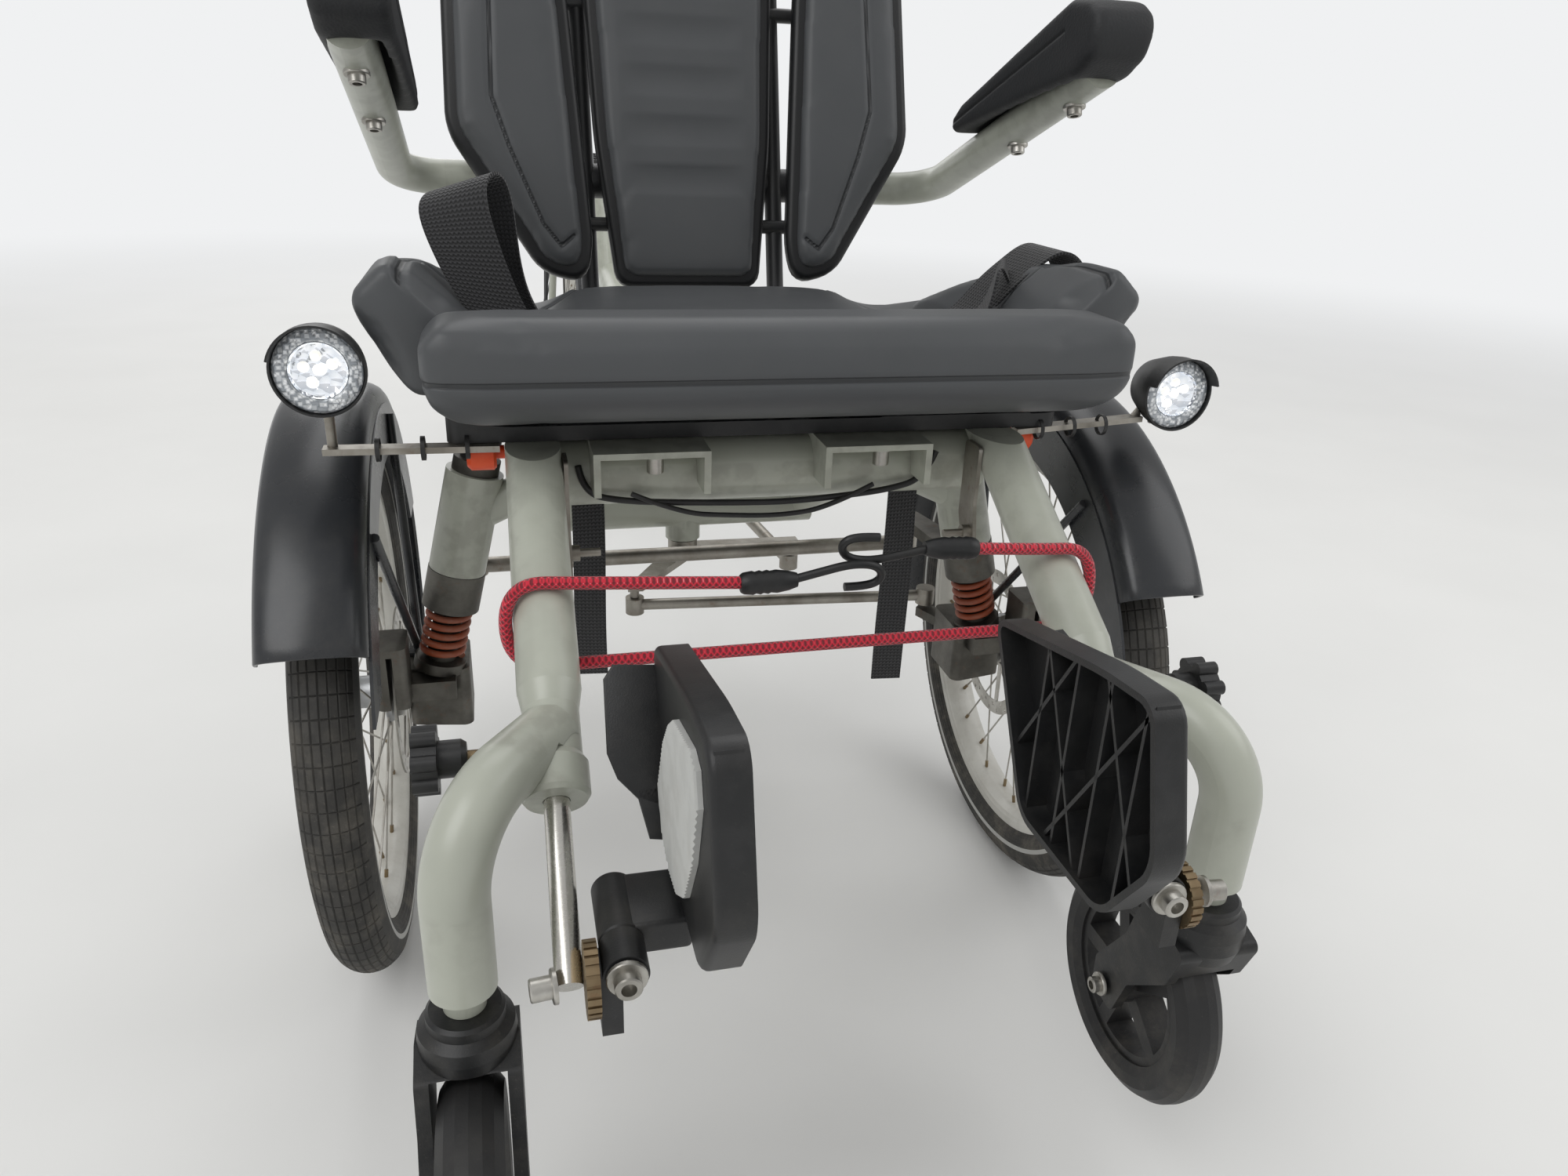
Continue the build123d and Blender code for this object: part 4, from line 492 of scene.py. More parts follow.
def make_groups():
    """Node groups shared by the finishes."""
    # Cloudy change of shade over a surface
    tree, given, sink = group("Cloudy shade", [
        ("Colour", "colour", (0.5, 0.5, 0.5, 1)), ("Second colour", "colour", (0.4, 0.4, 0.4, 1)),
        ("Scale", "value", 12.0), ("Spread", "value", 0.5)], [("Colour", "colour"), ("Mask", "value")])
    cloud = noise(tree, given["Scale"], 5.0, 0.6)
    spread = times(tree, given["Spread"], 0.3)
    mask = ramp(tree, cloud, minus(tree, 0.5, spread), plus(tree, 0.5, spread))
    feed(tree, sink, Colour=blend(tree, mask, given["Colour"], given["Second colour"]), Mask=mask)

    # Fine grain of a moulded or skinned surface
    tree, given, sink = group("Moulded grain", [
        ("Size", "value", 0.0012), ("Softness", "value", 0.5)], [("Height", "value")])
    where = object_place(tree)
    scale = maths(tree, "DIVIDE", 1.0, given["Size"])
    cells = add(tree, "TexVoronoi", {"Vector": where, "Scale": scale}, feature="SMOOTH_F1")
    feed(tree, cells, Smoothness=given["Softness"])
    feed(tree, sink, Height=plus(tree, times(tree, cells.outputs["Distance"], 0.8),
                                 times(tree, noise(tree, scale, 3.0, where=where), 0.35)))

    # Dust and dried splashes, more of it near the ground
    tree, given, sink = group("Road dust", [
        ("Amount", "value", 0.3), ("Reach", "value", 0.45)], [("Mask", "value")])
    height = add(tree, "SeparateXYZ", {0: object_place(tree)}).outputs["Z"]
    near = ramp(tree, height, 0.0, given["Reach"], 1.0, 0.12)
    mask = times(tree, ramp(tree, noise(tree, 26.0, 8.0, 0.72), 0.42, 0.74), near)
    spots = times(tree, ramp(tree, noise(tree, 420.0), 0.66, 0.74), near)
    feed(tree, sink, Mask=times(tree, raised(tree, mask, (spots, 0.6)), given["Amount"]))

    # Worn and scuffed edges
    tree, given, sink = group("Rubbed edges", [("Amount", "value", 0.5)], [("Mask", "value")])
    point = ramp(tree, add(tree, "NewGeometry").outputs["Pointiness"], 0.515, 0.58)
    worn = times(tree, point, ramp(tree, noise(tree, 60.0, 6.0), 0.42, 0.62))
    feed(tree, sink, Mask=times(tree, worn, given["Amount"]))

    # Scratches that run one way
    tree, given, sink = group("Drawn scratches", [
        ("Stretch", "vector", (1.0, 20.0, 1.0)), ("Scale", "value", 60.0)], [("Height", "value")])
    long = add(tree, "VectorMath", {0: object_place(tree), 1: given["Stretch"]},
               operation="MULTIPLY").outputs[0]
    feed(tree, sink, Height=noise(tree, given["Scale"], 4.0, where=long))

    # Distance from a wheel's axle
    tree, given, sink = group("Around the axle", [("Centre", "vector", (0, 0, 0))], [("Radius", "value")])
    parts = add(tree, "SeparateXYZ", {0: object_place(tree)}).outputs
    centre = add(tree, "SeparateXYZ", {0: given["Centre"]}).outputs
    y = minus(tree, parts["Y"], centre["Y"])
    z = minus(tree, parts["Z"], centre["Z"])
    feed(tree, sink, Radius=maths(tree, "SQRT", plus(tree, times(tree, y, y), times(tree, z, z))))

    # Webbing: ribs across and threads along, from the strap's own map; its tone output is painted shade in
    # the weave's hollows and painted highlight on its raised threads
    tree, given, sink = group("Woven band", [
        ("Pitch", "value", 0.0022)], [("Height", "value"), ("Shade", "value")])
    parts = add(tree, "SeparateXYZ", {0: add(tree, "UVMap").outputs["UV"]}).outputs
    count = maths(tree, "DIVIDE", 2 * pi, given["Pitch"])
    across = maths(tree, "SINE", times(tree, parts["X"], count))
    slant = maths(tree, "SINE", raised(tree, times(tree, parts["Y"], count), (across, 1.1)))
    height = plus(tree, times(tree, slant, 0.6), times(tree, across, 0.4))
    feed(tree, sink, Height=height, Shade=ramp(tree, height, -0.6, 0.8))

    # Braided sleeve of a cord that runs mostly along x, with a mask of painted highlights where both threads
    # peak
    tree, given, sink = group("Braided sleeve", [
        ("Pitch", "value", 0.0035)], [("Height", "value"), ("Fleck", "value")])
    parts = add(tree, "SeparateXYZ", {0: object_place(tree)}).outputs
    count = maths(tree, "DIVIDE", 2 * pi, given["Pitch"])
    turn = times(tree, minus(tree, parts["Z"], parts["Y"]), 1.1)
    one, two = (maths(tree, "SINE", times(tree, maths(tree, way, parts["X"], turn), count))
                for way in ("ADD", "SUBTRACT"))
    feed(tree, sink, Height=maths(tree, "MAXIMUM", one, two),
         Fleck=times(tree, ramp(tree, one, 0.75, 0.98), ramp(tree, two, 0.75, 0.98)))


DUST = tone(150, 143, 130)
WHITE = tone(255, 255, 255)
RUST = tone(122, 70, 38)
ORANGE_PEEL = 0.00002
FINISHES = {}


def finish_start(name):
    """A new material, kept by its name: its tree and its shader."""
    FINISHES[name] = bpy.data.materials.new(name)
    FINISHES[name].use_nodes = True
    tree = FINISHES[name].node_tree
    return tree, tree.nodes["Principled BSDF"]


def paint(name, colour, dark, rough=0.42, dust=0.35, edge=None, coat=0.15, reach=0.45):
    """Satin paint with cloudy shade, dust low down and rubbed edges."""
    tree, shader = finish_start(name)
    cloud = place_group(tree, "Cloudy shade", Colour=colour, Second_colour=dark, Scale=9.0, Spread=1.0)
    dirt = place_group(tree, "Road dust", Amount=dust, Reach=reach)["Mask"]
    worn = place_group(tree, "Rubbed edges", Amount=0.35 if edge else 0.0)["Mask"]
    grain = place_group(tree, "Moulded grain", Size=0.0011, Softness=1.0)["Height"]
    shade = blend(tree, dirt, blend(tree, worn, cloud["Colour"], edge or colour), DUST)
    feed(tree, shader, Base_Color=shade, Roughness=raised(tree, rough, (dirt, 0.35), (cloud["Mask"], 0.05)),
         Coat_Weight=coat, Coat_Roughness=0.25, Normal=bump(tree, grain, ORANGE_PEEL))


def metal(name, colour, dark, rough=0.3, stretch=(3, 3, 30), rust=0.0, dust=0.2):
    """Metal with drawn scratches, a dull bloom and a little rust."""
    tree, shader = finish_start(name)
    cloud = place_group(tree, "Cloudy shade", Colour=colour, Second_colour=dark, Scale=30.0, Spread=0.9)
    lines = place_group(tree, "Drawn scratches", Stretch=stretch, Scale=60.0)["Height"]
    dirt = place_group(tree, "Road dust", Amount=dust)["Mask"]
    rusty = times(tree, ramp(tree, noise(tree, 75.0, 9.0, 0.75), 0.56, 0.70), rust)
    shade = blend(tree, dirt, blend(tree, rusty, cloud["Colour"], RUST), DUST)
    dull = plus(tree, rusty, dirt)
    bright = maths(tree, "MAXIMUM", minus(tree, 1.0, times(tree, dull, 0.9)), 0.0)
    feed(tree, shader, Base_Color=shade, Roughness=raised(tree, rough, (lines, 0.16), (dull, 0.45)),
         Metallic=bright, Normal=bump(tree, lines, 0.00002, 0.6))


def moulding(name, colour, pale, rough=0.5, grain=0.0012, depth=0.00006, dust=0.35, edge=0.5, softness=0.4,
             reach=0.45):
    """Moulded plastic or rubber: grain, pale scuffs at edges, dust low down."""
    tree, shader = finish_start(name)
    cloud = place_group(tree, "Cloudy shade", Colour=colour, Second_colour=pale, Scale=14.0,
                        Spread=1.2)["Mask"]
    dirt = place_group(tree, "Road dust", Amount=dust, Reach=reach)["Mask"]
    worn = place_group(tree, "Rubbed edges", Amount=edge)["Mask"]
    skin = place_group(tree, "Moulded grain", Size=grain, Softness=softness)["Height"]
    shade = blend(tree, worn, blend(tree, times(tree, cloud, 0.14), colour, pale), pale)
    feed(tree, shader, Base_Color=blend(tree, dirt, shade, DUST),
         Roughness=raised(tree, rough, (dirt, 0.3), (cloud, 0.08)), Normal=bump(tree, skin, depth))
    return tree, shader


def foam(name, colour, pale, rough, grain, depth):
    """Skinned foam: fine grain, and pressed seam lines kept in the pad's own attribute and darkened along
    them as painted shade.
    """
    tree, shader = moulding(name, colour, pale, rough, grain, depth, dust=0.12, edge=0.0, softness=0.7)
    away = add(tree, "Attribute", attribute_name="seam", attribute_type="GEOMETRY").outputs["Fac"]
    # The near-black line along each pressed seam is painted shade in the groove
    line = ramp(tree, away, 0.0004, 0.0026, 1.0, 0.0)
    feed(tree, shader,
         Normal=bump(tree, times(tree, line, -1.0), 0.0014, 1.0, fed_by(shader, "Normal")),
         Base_Color=blend(tree, times(tree, line, 0.75), fed_by(shader, "Base Color"), tone(14, 15, 17)),
         Specular_IOR_Level=0.42)


def tyre_finish(name, centre, stripe):
    """Tyre rubber with moulded side ribs and a pale reflecting stripe on the side."""
    tree, shader = moulding(name, tone(47, 46, 44), tone(80, 78, 74), rough=0.70, grain=0.0014, depth=0.00008,
                            dust=0.4, reach=0.6)
    radius = place_group(tree, "Around the axle", Centre=centre)["Radius"]
    band = times(tree, maths(tree, "GREATER_THAN", radius, stripe),
                 maths(tree, "LESS_THAN", radius, stripe + 0.0045))
    ribs = maths(tree, "SINE", times(tree, radius, 2 * pi / 0.0032))
    low = ramp(tree, radius, stripe - 0.002, stripe - 0.001, 1.0, 0.0)
    feed(tree, shader, Base_Color=blend(tree, band, fed_by(shader, "Base Color"), tone(178, 178, 174)),
         Normal=bump(tree, times(tree, ribs, low), 0.0003, 1.0, fed_by(shader, "Normal")))


def webbing_finish():
    """Woven black webbing, darker in the weave's hollows and lighter on its raised threads as painted shade
    and painted highlight.
    """
    tree, shader = finish_start("webbing")
    weave = place_group(tree, "Woven band", Pitch=0.0032)
    fuzz = place_group(tree, "Moulded grain", Size=0.0006, Softness=0.2)["Height"]
    # The weave's tone from dark hollows to lighter ribs is painted shade and painted highlight
    feed(tree, shader, Base_Color=blend(tree, weave["Shade"], tone(18, 18, 19), tone(52, 52, 54)),
         Roughness=0.82, Sheen_Weight=0.25, Sheen_Roughness=0.5,
         Normal=bump(tree, weave["Height"], 0.00045, 1.0, bump(tree, fuzz, 0.00008)))


def cord_finish(colour):
    """Red braided sleeve, painted darker in its hollows as painted shade, with pale painted highlights on its
    peaks.
    """
    tree, shader = finish_start("red_cord")
    braid = place_group(tree, "Braided sleeve", Pitch=0.0042)
    # Deeper red low in the braid is painted shade, and the pale dots on its peaks are painted highlights
    shade = blend(tree, ramp(tree, braid["Height"], -0.2, 0.9), tone(120, 12, 30), colour)
    feed(tree, shader, Base_Color=blend(tree, times(tree, braid["Fleck"], 0.75), shade, tone(236, 150, 156)),
         Roughness=0.7, Sheen_Weight=0.3, Normal=bump(tree, braid["Height"], 0.0004))


def lamp_finishes():
    """Clear lens, mirror with a painted reflection, and light sources of a lamp."""
    tree, shader = finish_start("lamp_glass")
    cells = add(tree, "TexVoronoi", {"Vector": object_place(tree), "Scale": 330.0}, feature="F1",
                distance="CHEBYCHEV").outputs["Distance"]
    feed(tree, shader, Roughness=0.18, Metallic=0.35, Coat_Weight=1.0, Coat_Roughness=0.05,
         Base_Color=blend(tree, ramp(tree, cells, 0.1, 0.6), tone(248, 250, 252), tone(150, 156, 162)),
         Normal=bump(tree, cells, 0.0009))
    tree, shader = finish_start("lamp_mirror")
    facets = add(tree, "TexVoronoi", {"Vector": object_place(tree), "Scale": 150.0},
                 feature="F1").outputs["Distance"]
    # The mirror's faint cool glow is a painted reflection, not a light source
    feed(tree, shader, Base_Color=blend(tree, facets, WHITE, tone(205, 212, 220)), Roughness=0.12,
         Metallic=1.0, Emission_Strength=0.22, Emission_Color=tone(235, 242, 255),
         Normal=bump(tree, facets, 0.002))
    tree, shader = finish_start("lamp_diode")
    feed(tree, shader, Base_Color=blend(tree, noise(tree, 300.0), WHITE, tone(240, 236, 214)),
         Roughness=0.2, Emission_Strength=0.6, Emission_Color=tone(255, 252, 244))


def make_finishes(colours):
    """Every finish on the object."""
    make_groups()
    frame_colour, seat, guard, spring, cord_colour = (tuple(getattr(colours, name)) for name in COLOURS)
    paint("frame_paint", frame_colour, tone(168, 171, 159), rough=0.34, dust=0.07,
          edge=tone(130, 128, 118), coat=0.3)
    paint("black_steel", tone(34, 35, 37), tone(44, 45, 47), dust=0.3, edge=tone(120, 118, 112))
    paint("spring_paint", spring, tone(120, 52, 26), rough=0.5, dust=0.5, edge=tone(140, 100, 80), reach=0.6)
    paint("rim_alloy", tone(214, 213, 206), tone(190, 188, 180), rough=0.34, dust=0.3, coat=0.3, reach=0.5)
    metal("steel", tone(176, 172, 164), tone(132, 127, 118), rough=0.38, rust=0.35)
    metal("chrome", tone(214, 212, 206), tone(196, 193, 186), rough=0.18, rust=0.03, stretch=(3, 3, 12),
          dust=0.03)
    metal("cast_metal", tone(118, 116, 110), tone(84, 82, 78), rough=0.44, rust=0.3)
    metal("alloy", tone(196, 198, 200), tone(160, 161, 163), rough=0.32)
    metal("brass_plate", tone(158, 142, 114), tone(124, 106, 82), rough=0.42, rust=0.3)
    metal("bolt_steel", tone(206, 204, 198), tone(150, 147, 140), rust=0.25, dust=0.1)
    metal("spoke_steel", tone(196, 194, 188), tone(150, 146, 138), rough=0.33, rust=0.2)
    for name, colour, pale, rough, grain, depth, settings in (
            ("black_plastic", tone(21, 22, 23), tone(44, 44, 45), 0.40, 0.0010, 0.00006,
             {"dust": 0.20, "edge": 0.32, "reach": 0.5}),
            ("guard_plastic", guard, tone(62, 65, 69), 0.24, 0.0016, 0.00001,
             {"dust": 0.16, "edge": 0.25, "reach": 0.62}),
            ("grip_rubber", tone(34, 34, 35), tone(58, 58, 58), 0.7, 0.0016, 0.0002, {"dust": 0.1}),
            ("caster_rubber", tone(27, 27, 28), tone(62, 61, 60), 0.5, 0.0012, 0.00005,
             {"dust": 0.25, "edge": 0.6, "reach": 0.3}),
            ("saddle_cover", tone(34, 34, 36), tone(56, 56, 58), 0.5, 0.0018, 0.00012, {"dust": 0.05}),
            ("cable_cover", tone(20, 20, 21), tone(48, 48, 48), 0.4, 0.002, 0.00003, {"dust": 0.15}),
            ("orange_plastic", tone(228, 74, 26), tone(244, 110, 60), 0.42, 0.001, 0.00004,
             {"dust": 0.12, "edge": 0.3}),
            ("tread_grey", tone(186, 187, 184), tone(150, 150, 146), 0.55, 0.0012, 0.00004,
             {"dust": 0.3, "edge": 0.2, "reach": 0.75})):
        moulding(name, colour, pale, rough, grain, depth, **settings)
    foam("seat_foam", seat, tone(88, 90, 93), rough=0.40, grain=0.0014, depth=0.00004)
    foam("edge_foam", tone(24, 25, 27), tone(44, 45, 47), rough=0.36, grain=0.0014, depth=0.00004)
    foam("arm_foam", tone(34, 35, 37), tone(58, 59, 61), rough=0.58, grain=0.0020, depth=0.00022)
    tyre_finish("tyre_rubber", at(WHEEL_X, 0, WHEEL_Z), stripe=0.2225)
    tyre_finish("rear_tyre_rubber", at(*REAR_AXLE), stripe=0.272)
    webbing_finish()
    cord_finish(cord_colour)
    lamp_finishes()


def done(piece, finish, body, angle=38):
    """Dress a finished piece, smooth it up to an angle where one is given, and let it ride on its body."""
    piece.data.materials.clear()
    piece.data.materials.append(FINISHES[finish])
    if angle:
        pick(piece)
        bpy.ops.object.shade_smooth_by_angle(angle=radians(angle))
    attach(piece, body)
    return piece


# Sizes and colours that a user may change

def colour_choice(name, text, default):
    return bpy.props.FloatVectorProperty(name=name, description=text, size=4, subtype="COLOR", min=0, max=1,
                                         default=default)


def size_choice(name, text, default, low, high):
    return bpy.props.FloatProperty(name=name, description=text, default=default, min=low, max=high,
                                   unit="LENGTH")


COLOURS = ("frame", "seat", "guard", "spring", "cord")


class TricycleColours(bpy.types.PropertyGroup):
    frame: colour_choice("Frame", "Paint of the tubes", tone(181, 184, 171))
    seat: colour_choice("Seat", "Skin of the seat and back foam", tone(72, 74, 76))
    guard: colour_choice("Mudguards", "Moulding of the mudguards", tone(42, 44, 47))
    spring: colour_choice("Springs", "Coating of the springs", tone(168, 80, 42))
    cord: colour_choice("Cord", "Sleeve of the elastic cord", tone(208, 28, 54))


class TricycleSizes(bpy.types.PropertyGroup):
    tread_depth: size_choice("Tread depth", "Height of the tyres' blocks", 0.0011, 0, 0.004)
    spoke: size_choice("Spoke", "Diameter of a spoke", 0.0020, 0.001, 0.004)
    cord: size_choice("Elastic cord", "Diameter of the elastic cord", 0.0085, 0.004, 0.012)


# Stage

BACKGROUND = tone(240, 241, 242)
LIGHTS = (
    ("key_light", (-2.2, -2.6, 3.4), 2.6, 62.0), ("fill_light", (3.0, -1.6, 2.6), 2.4, 26.0),
    ("top_light", (0.4, 1.6, 4.2), 3.0, 46.0), ("back_light", (-0.6, 4.2, 2.6), 2.4, 30.0))
LIGHTS_AIM = Vector((0, 0, 0.5))
# The camera's right, up and backward directions and its place, in columns
CAMERA_MATRIX = Matrix((
    (0.9687, 0.0625, -0.2403, -0.198),
    (-0.2451, 0.3958, -0.8850, -1.673),
    (0.0398, 0.9162, 0.3987, 0.770),
    (0, 0, 0, 1)))
CAMERA_LENS = 25.2


class OBJECT_OT_tricycle_stage(bpy.types.Operator):
    """Pale floor, soft lights and the camera"""
    bl_idname = "object.tricycle_stage"
    bl_label = "Stage"

    def execute(self, context):
        free()
        bpy.ops.mesh.primitive_plane_add(size=160, location=(0, 0, 0))
        floor = named("floor")
        tree, shader = finish_start("floor_paint")
        shade = blend(tree, noise(tree, 3.0, 4.0), tone(228, 228, 226), tone(236, 236, 234))
        feed(tree, shader, Base_Color=shade, Roughness=0.75, Specular_IOR_Level=0.2)
        # Far from the object the floor takes the background's own tone
        away = add(tree, "VectorMath", {0: object_place(tree)}, operation="LENGTH").outputs["Value"]
        glow = add(tree, "Emission", {"Color": BACKGROUND, "Strength": 1.0})
        fade = add(tree, "MixShader", {
            0: ramp(tree, away, 1.6, 6.0), 1: shader.outputs[0], 2: glow.outputs[0]})
        sink = next(node for node in tree.nodes if node.type == "OUTPUT_MATERIAL")
        feed(tree, sink, Surface=fade.outputs[0])
        floor.data.materials.append(FINISHES["floor_paint"])

        world = context.scene.world or bpy.data.worlds.new("World")
        context.scene.world = world
        world.use_nodes = True
        tree = world.node_tree
        tree.nodes.clear()
        seen = add(tree, "LightPath")
        straight = maths(tree, "MAXIMUM", seen.outputs["Is Camera Ray"], seen.outputs["Is Transmission Ray"])
        soft = add(tree, "Background", {"Color": (1, 1, 1, 1), "Strength": 0.52})
        white = add(tree, "Background", {"Color": BACKGROUND, "Strength": 1.0})
        mixed = add(tree, "MixShader", {0: straight, 1: soft.outputs[0], 2: white.outputs[0]})
        add(tree, "OutputWorld", {0: mixed.outputs[0]})

        for name, place, size, power in LIGHTS:
            bpy.ops.object.light_add(type="AREA", location=place)
            light = bpy.context.object
            light.name = name
            light.data.size = size
            light.data.energy = power
            light.rotation_euler = (LIGHTS_AIM - Vector(place)).to_track_quat("-Z", "Y").to_euler()

        bpy.ops.object.camera_add()
        camera = bpy.context.object
        camera.name = "camera"
        camera.matrix_world = CAMERA_MATRIX
        camera.data.lens = CAMERA_LENS
        camera.data.sensor_width = 36
        camera.data.clip_start = 0.02
        context.scene.camera = camera
        context.scene.view_settings.view_transform = "Standard"
        return {"FINISHED"}


class OBJECT_OT_tricycle_finishes(bpy.types.Operator):
    """Finishes of the frame, levers, castors, footplates and rear half"""
    bl_idname = "object.tricycle_finishes"
    bl_label = "Finishes"

    def execute(self, context):
        make_finishes(context.scene.tricycle_colours)
        for row in frame["record"]["subparts"]:
            node = NODES[row["node"]]
            cast = row["node"].startswith("knuckle")
            finish = FINISHES.get("cast_metal" if cast else row["material_slot"])
            if finish is None:
                raise RuntimeError(f"no finish for slot {row['material_slot']}")
            if not node.material_slots:
                node.data.materials.append(finish)
            for slot in node.material_slots:
                slot.material = finish
        return {"FINISHED"}


# Wheels

# How far round its section a tyre's blocks reach, counted from the tread's middle line
CROWN = radians(62)


def wheel_frame(side, x=WHEEL_X):
    """Frame of a front wheel: z along its axle, away from the middle."""
    return axes(at(side * x, 0, WHEEL_Z), (0, side, 0), (side, 0, 0))


def mirrored(half):
    """A half profile's mirror image, in reverse."""
    return [(radius, -height) for radius, height in reversed(half)]


def wheel_tyre(name, radius, width, around):
    """A tyre about its local z: a round carcass whose crown is cut into shallow blocks."""
    depth = bpy.context.scene.tricycle_sizes.tread_depth
    middle = radius - width / 2

    def on_crown(face):
        spot = face.calc_center_median()
        return atan2(abs(spot.z), spot.xy.length - middle) < CROWN

    free()
    bpy.ops.mesh.primitive_torus_add(major_segments=around, minor_segments=24, major_radius=middle,
                                     minor_radius=width / 2 - depth)
    piece = named(name)
    with editing(piece):
        choose(piece, on_crown)
        bpy.ops.mesh.inset(use_individual=True, thickness=0.0009, depth=depth)
    return piece


def wheel_rim(name, rim_r, width=0.036, depth=0.019):
    """A box-section rim with hooked lips, about its local z."""
    w = width / 2
    inner = rim_r - depth
    lip = [(rim_r, -w), (rim_r, -w + 0.003), (rim_r - 0.006, -w + 0.005)]
    well = [(rim_r - 0.009, w), (rim_r - 0.010, w - 0.0012), (inner + 0.006, w - 0.002),
            (inner + 0.001, w * 0.5), (inner, w * 0.25)]
    profile = lip + [(rim_r - 0.007, 0)] + mirrored(lip) + well + mirrored(well)
    return turned(name, profile, 96, ring=True)


def wheel_spokes(name, rim_in, flange_r, flange, count):
    """Crossed spokes with their nipples, about the local z."""
    spoke_r = bpy.context.scene.tricycle_sizes.spoke / 2
    wires, nuts = [], []
    for number in range(count):
        out = -1 if number % 2 else 1
        sweep = radians(52 if number % 4 < 2 else -52)
        turn = 2 * pi * number / count
        low = Vector((flange_r * cos(turn + sweep), flange_r * sin(turn + sweep), out * flange))
        high = Vector((rim_in * cos(turn), rim_in * sin(turn), out * 0.003))
        wires.append(bar(f"{name}_wire", low, high, spoke_r, 6))
        run = (low - high).normalized()
        nuts.append(bar(f"{name}_nut", high - run * 0.003, high + run * 0.011, spoke_r * 1.9, 8))
    return join(name, wires), join(name + "_nipples", nuts)


def wheel_hub(name, width, barrel, flange_r, flange, bore):
    """A hub shell with two flanges and end caps, about its local z."""
    w = width / 2
    half = [(bore, -w), (barrel * 0.62, -w), (barrel * 0.66, -w + 0.002), (barrel, -flange - 0.006),
            (flange_r - 0.001, -flange - 0.0035), (flange_r, -flange - 0.002), (flange_r, -flange + 0.001),
            (flange_r - 0.001, -flange + 0.002), (barrel * 1.02, -flange + 0.004),
            (barrel * 0.9, -flange * 0.5)]
    return turned(name, half + mirrored(half), 48, ring=True)


def brake_disc(name):
    """A brake disc with two rows of holes and a spider, about its local z."""
    ring = turned(name, [(0.0650, -0.0009), (0.0650, 0.0009), (0.0792, 0.0009), (0.0792, -0.0009)], 96,
                  ring=True)
    holes, arms = 24, 6
    through = Vector((0, 0, 0.004))
    drills = []
    for number in range(holes):
        for row, reach in ((0, 0.0690), (1, 0.0750)):
            turn = 2 * pi * (number + row * 0.5) / holes
            spot = Vector((reach * cos(turn), reach * sin(turn), 0))
            drills.append(bar("drill", spot - through, spot + through, 0.0021, 10))
    drill = join("drill", drills)
    modify(ring, "Holes", "BOOLEAN", operation="DIFFERENCE", solver="EXACT", object=drill)
    bpy.data.objects.remove(drill)
    parts = [ring]
    for number in range(arms):
        turn = 2 * pi * number / arms
        arm = block("arm", (0.046, 0.007, 0.0018), 0.0004, 1)
        spot = Vector((0.044 * cos(turn), 0.044 * sin(turn), 0))
        parts.append(put(arm, axes(spot, (cos(turn + 0.5), sin(turn + 0.5), 0), (0, 0, 1))))
    parts.append(turned("boss", [(0.011, -0.0015), (0.011, 0.0015), (0.025, 0.0015), (0.026, 0.0),
                                 (0.025, -0.0015)], 36, ring=True))
    return join(name, parts)


def keep_past(piece, place, normal):
    """Cut a piece by a plane and keep the side that the normal points to, closed."""
    with editing(piece):
        slice_by(place, normal, use_fill=True, clear_inner=True)


class OBJECT_OT_tricycle_mudguards(bpy.types.Operator):
    """Front mudguards: rounded band, inner skirt and stays"""
    bl_idname = "object.tricycle_mudguards"
    bl_label = "Mudguards"

    def execute(self, context):
        guard_r, wall = 0.288, 0.0025
        front, rear = radians(33), radians(195)
        skirt_x, skirt_half, skirt_low = 299.2, 0.00125, 353.3
        foot_x, foot_z = 286.0, 290.3
        stay_x, stay_reach, stay_r = 296.2, 258, 0.004
        crest = [(-0.039, -0.022), (-0.0383, -0.0155), (-0.0365, -0.0095), (-0.0335, -0.0055),
                 (-0.029, -0.0028), (-0.022, -0.0006), (-0.012, 0.0012), (0.0, 0.002)]
        crest += [(-across, rise) for across, rise in reversed(crest[:-1])]
        for word, side in SIDES:
            centre = at(side * WHEEL_X, 0, WHEEL_Z)
            section = [(guard_r + rise, across) for across, rise in crest]
            section += [(guard_r + rise - wall, across * 0.936) for across, rise in reversed(crest)]
            band = put(turned(f"guard_band_{word}", section, 144, ring=True), wheel_frame(side))
            keep_past(band, centre, (0, sin(front), cos(front)))
            keep_past(band, centre, (0, -sin(rear), -cos(rear)))
            # Round the two cut ends a little
            with editing(band):
                choose(band, lambda e: len(e.link_faces) == 2 and any(len(f.verts) > 4 for f in e.link_faces),
                       "EDGE")
                bevel(0.0008, 2, clamp=False)
            skirt = put(turned(f"guard_skirt_{word}", [
                (0.222, -skirt_half), (0.268, -skirt_half), (0.268, skirt_half), (0.222, skirt_half)], 144,
                ring=True), wheel_frame(side, skirt_x))
            keep_past(skirt, at(0, 0, skirt_low), (0, 0, 1))
            foot = block(f"guard_foot_{word}", (0.021, 0.032, 0.004), 0.001, 2)
            put(foot, Matrix.Translation(at(side * (foot_x - 1.5), 6, foot_z + 2)))
            stays = []
            for foot_y, top_y in ((0, -150), (12, 60)):
                top_z = WHEEL_Z + sqrt(stay_reach ** 2 - top_y ** 2)
                stays.append(bar("stay", at(side * foot_x, foot_y, foot_z + 3),
                                 at(side * stay_x, top_y, top_z), stay_r))
            stays = join(f"guard_stays_{word}", [foot] + stays)
            done(band, "guard_plastic", f"knuckle_{word}", angle=50)
            done(skirt, "guard_plastic", f"knuckle_{word}", angle=30)
            done(stays, "guard_plastic", f"knuckle_{word}", angle=40)
            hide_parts(f"mudguard_{word}")
        return {"FINISHED"}


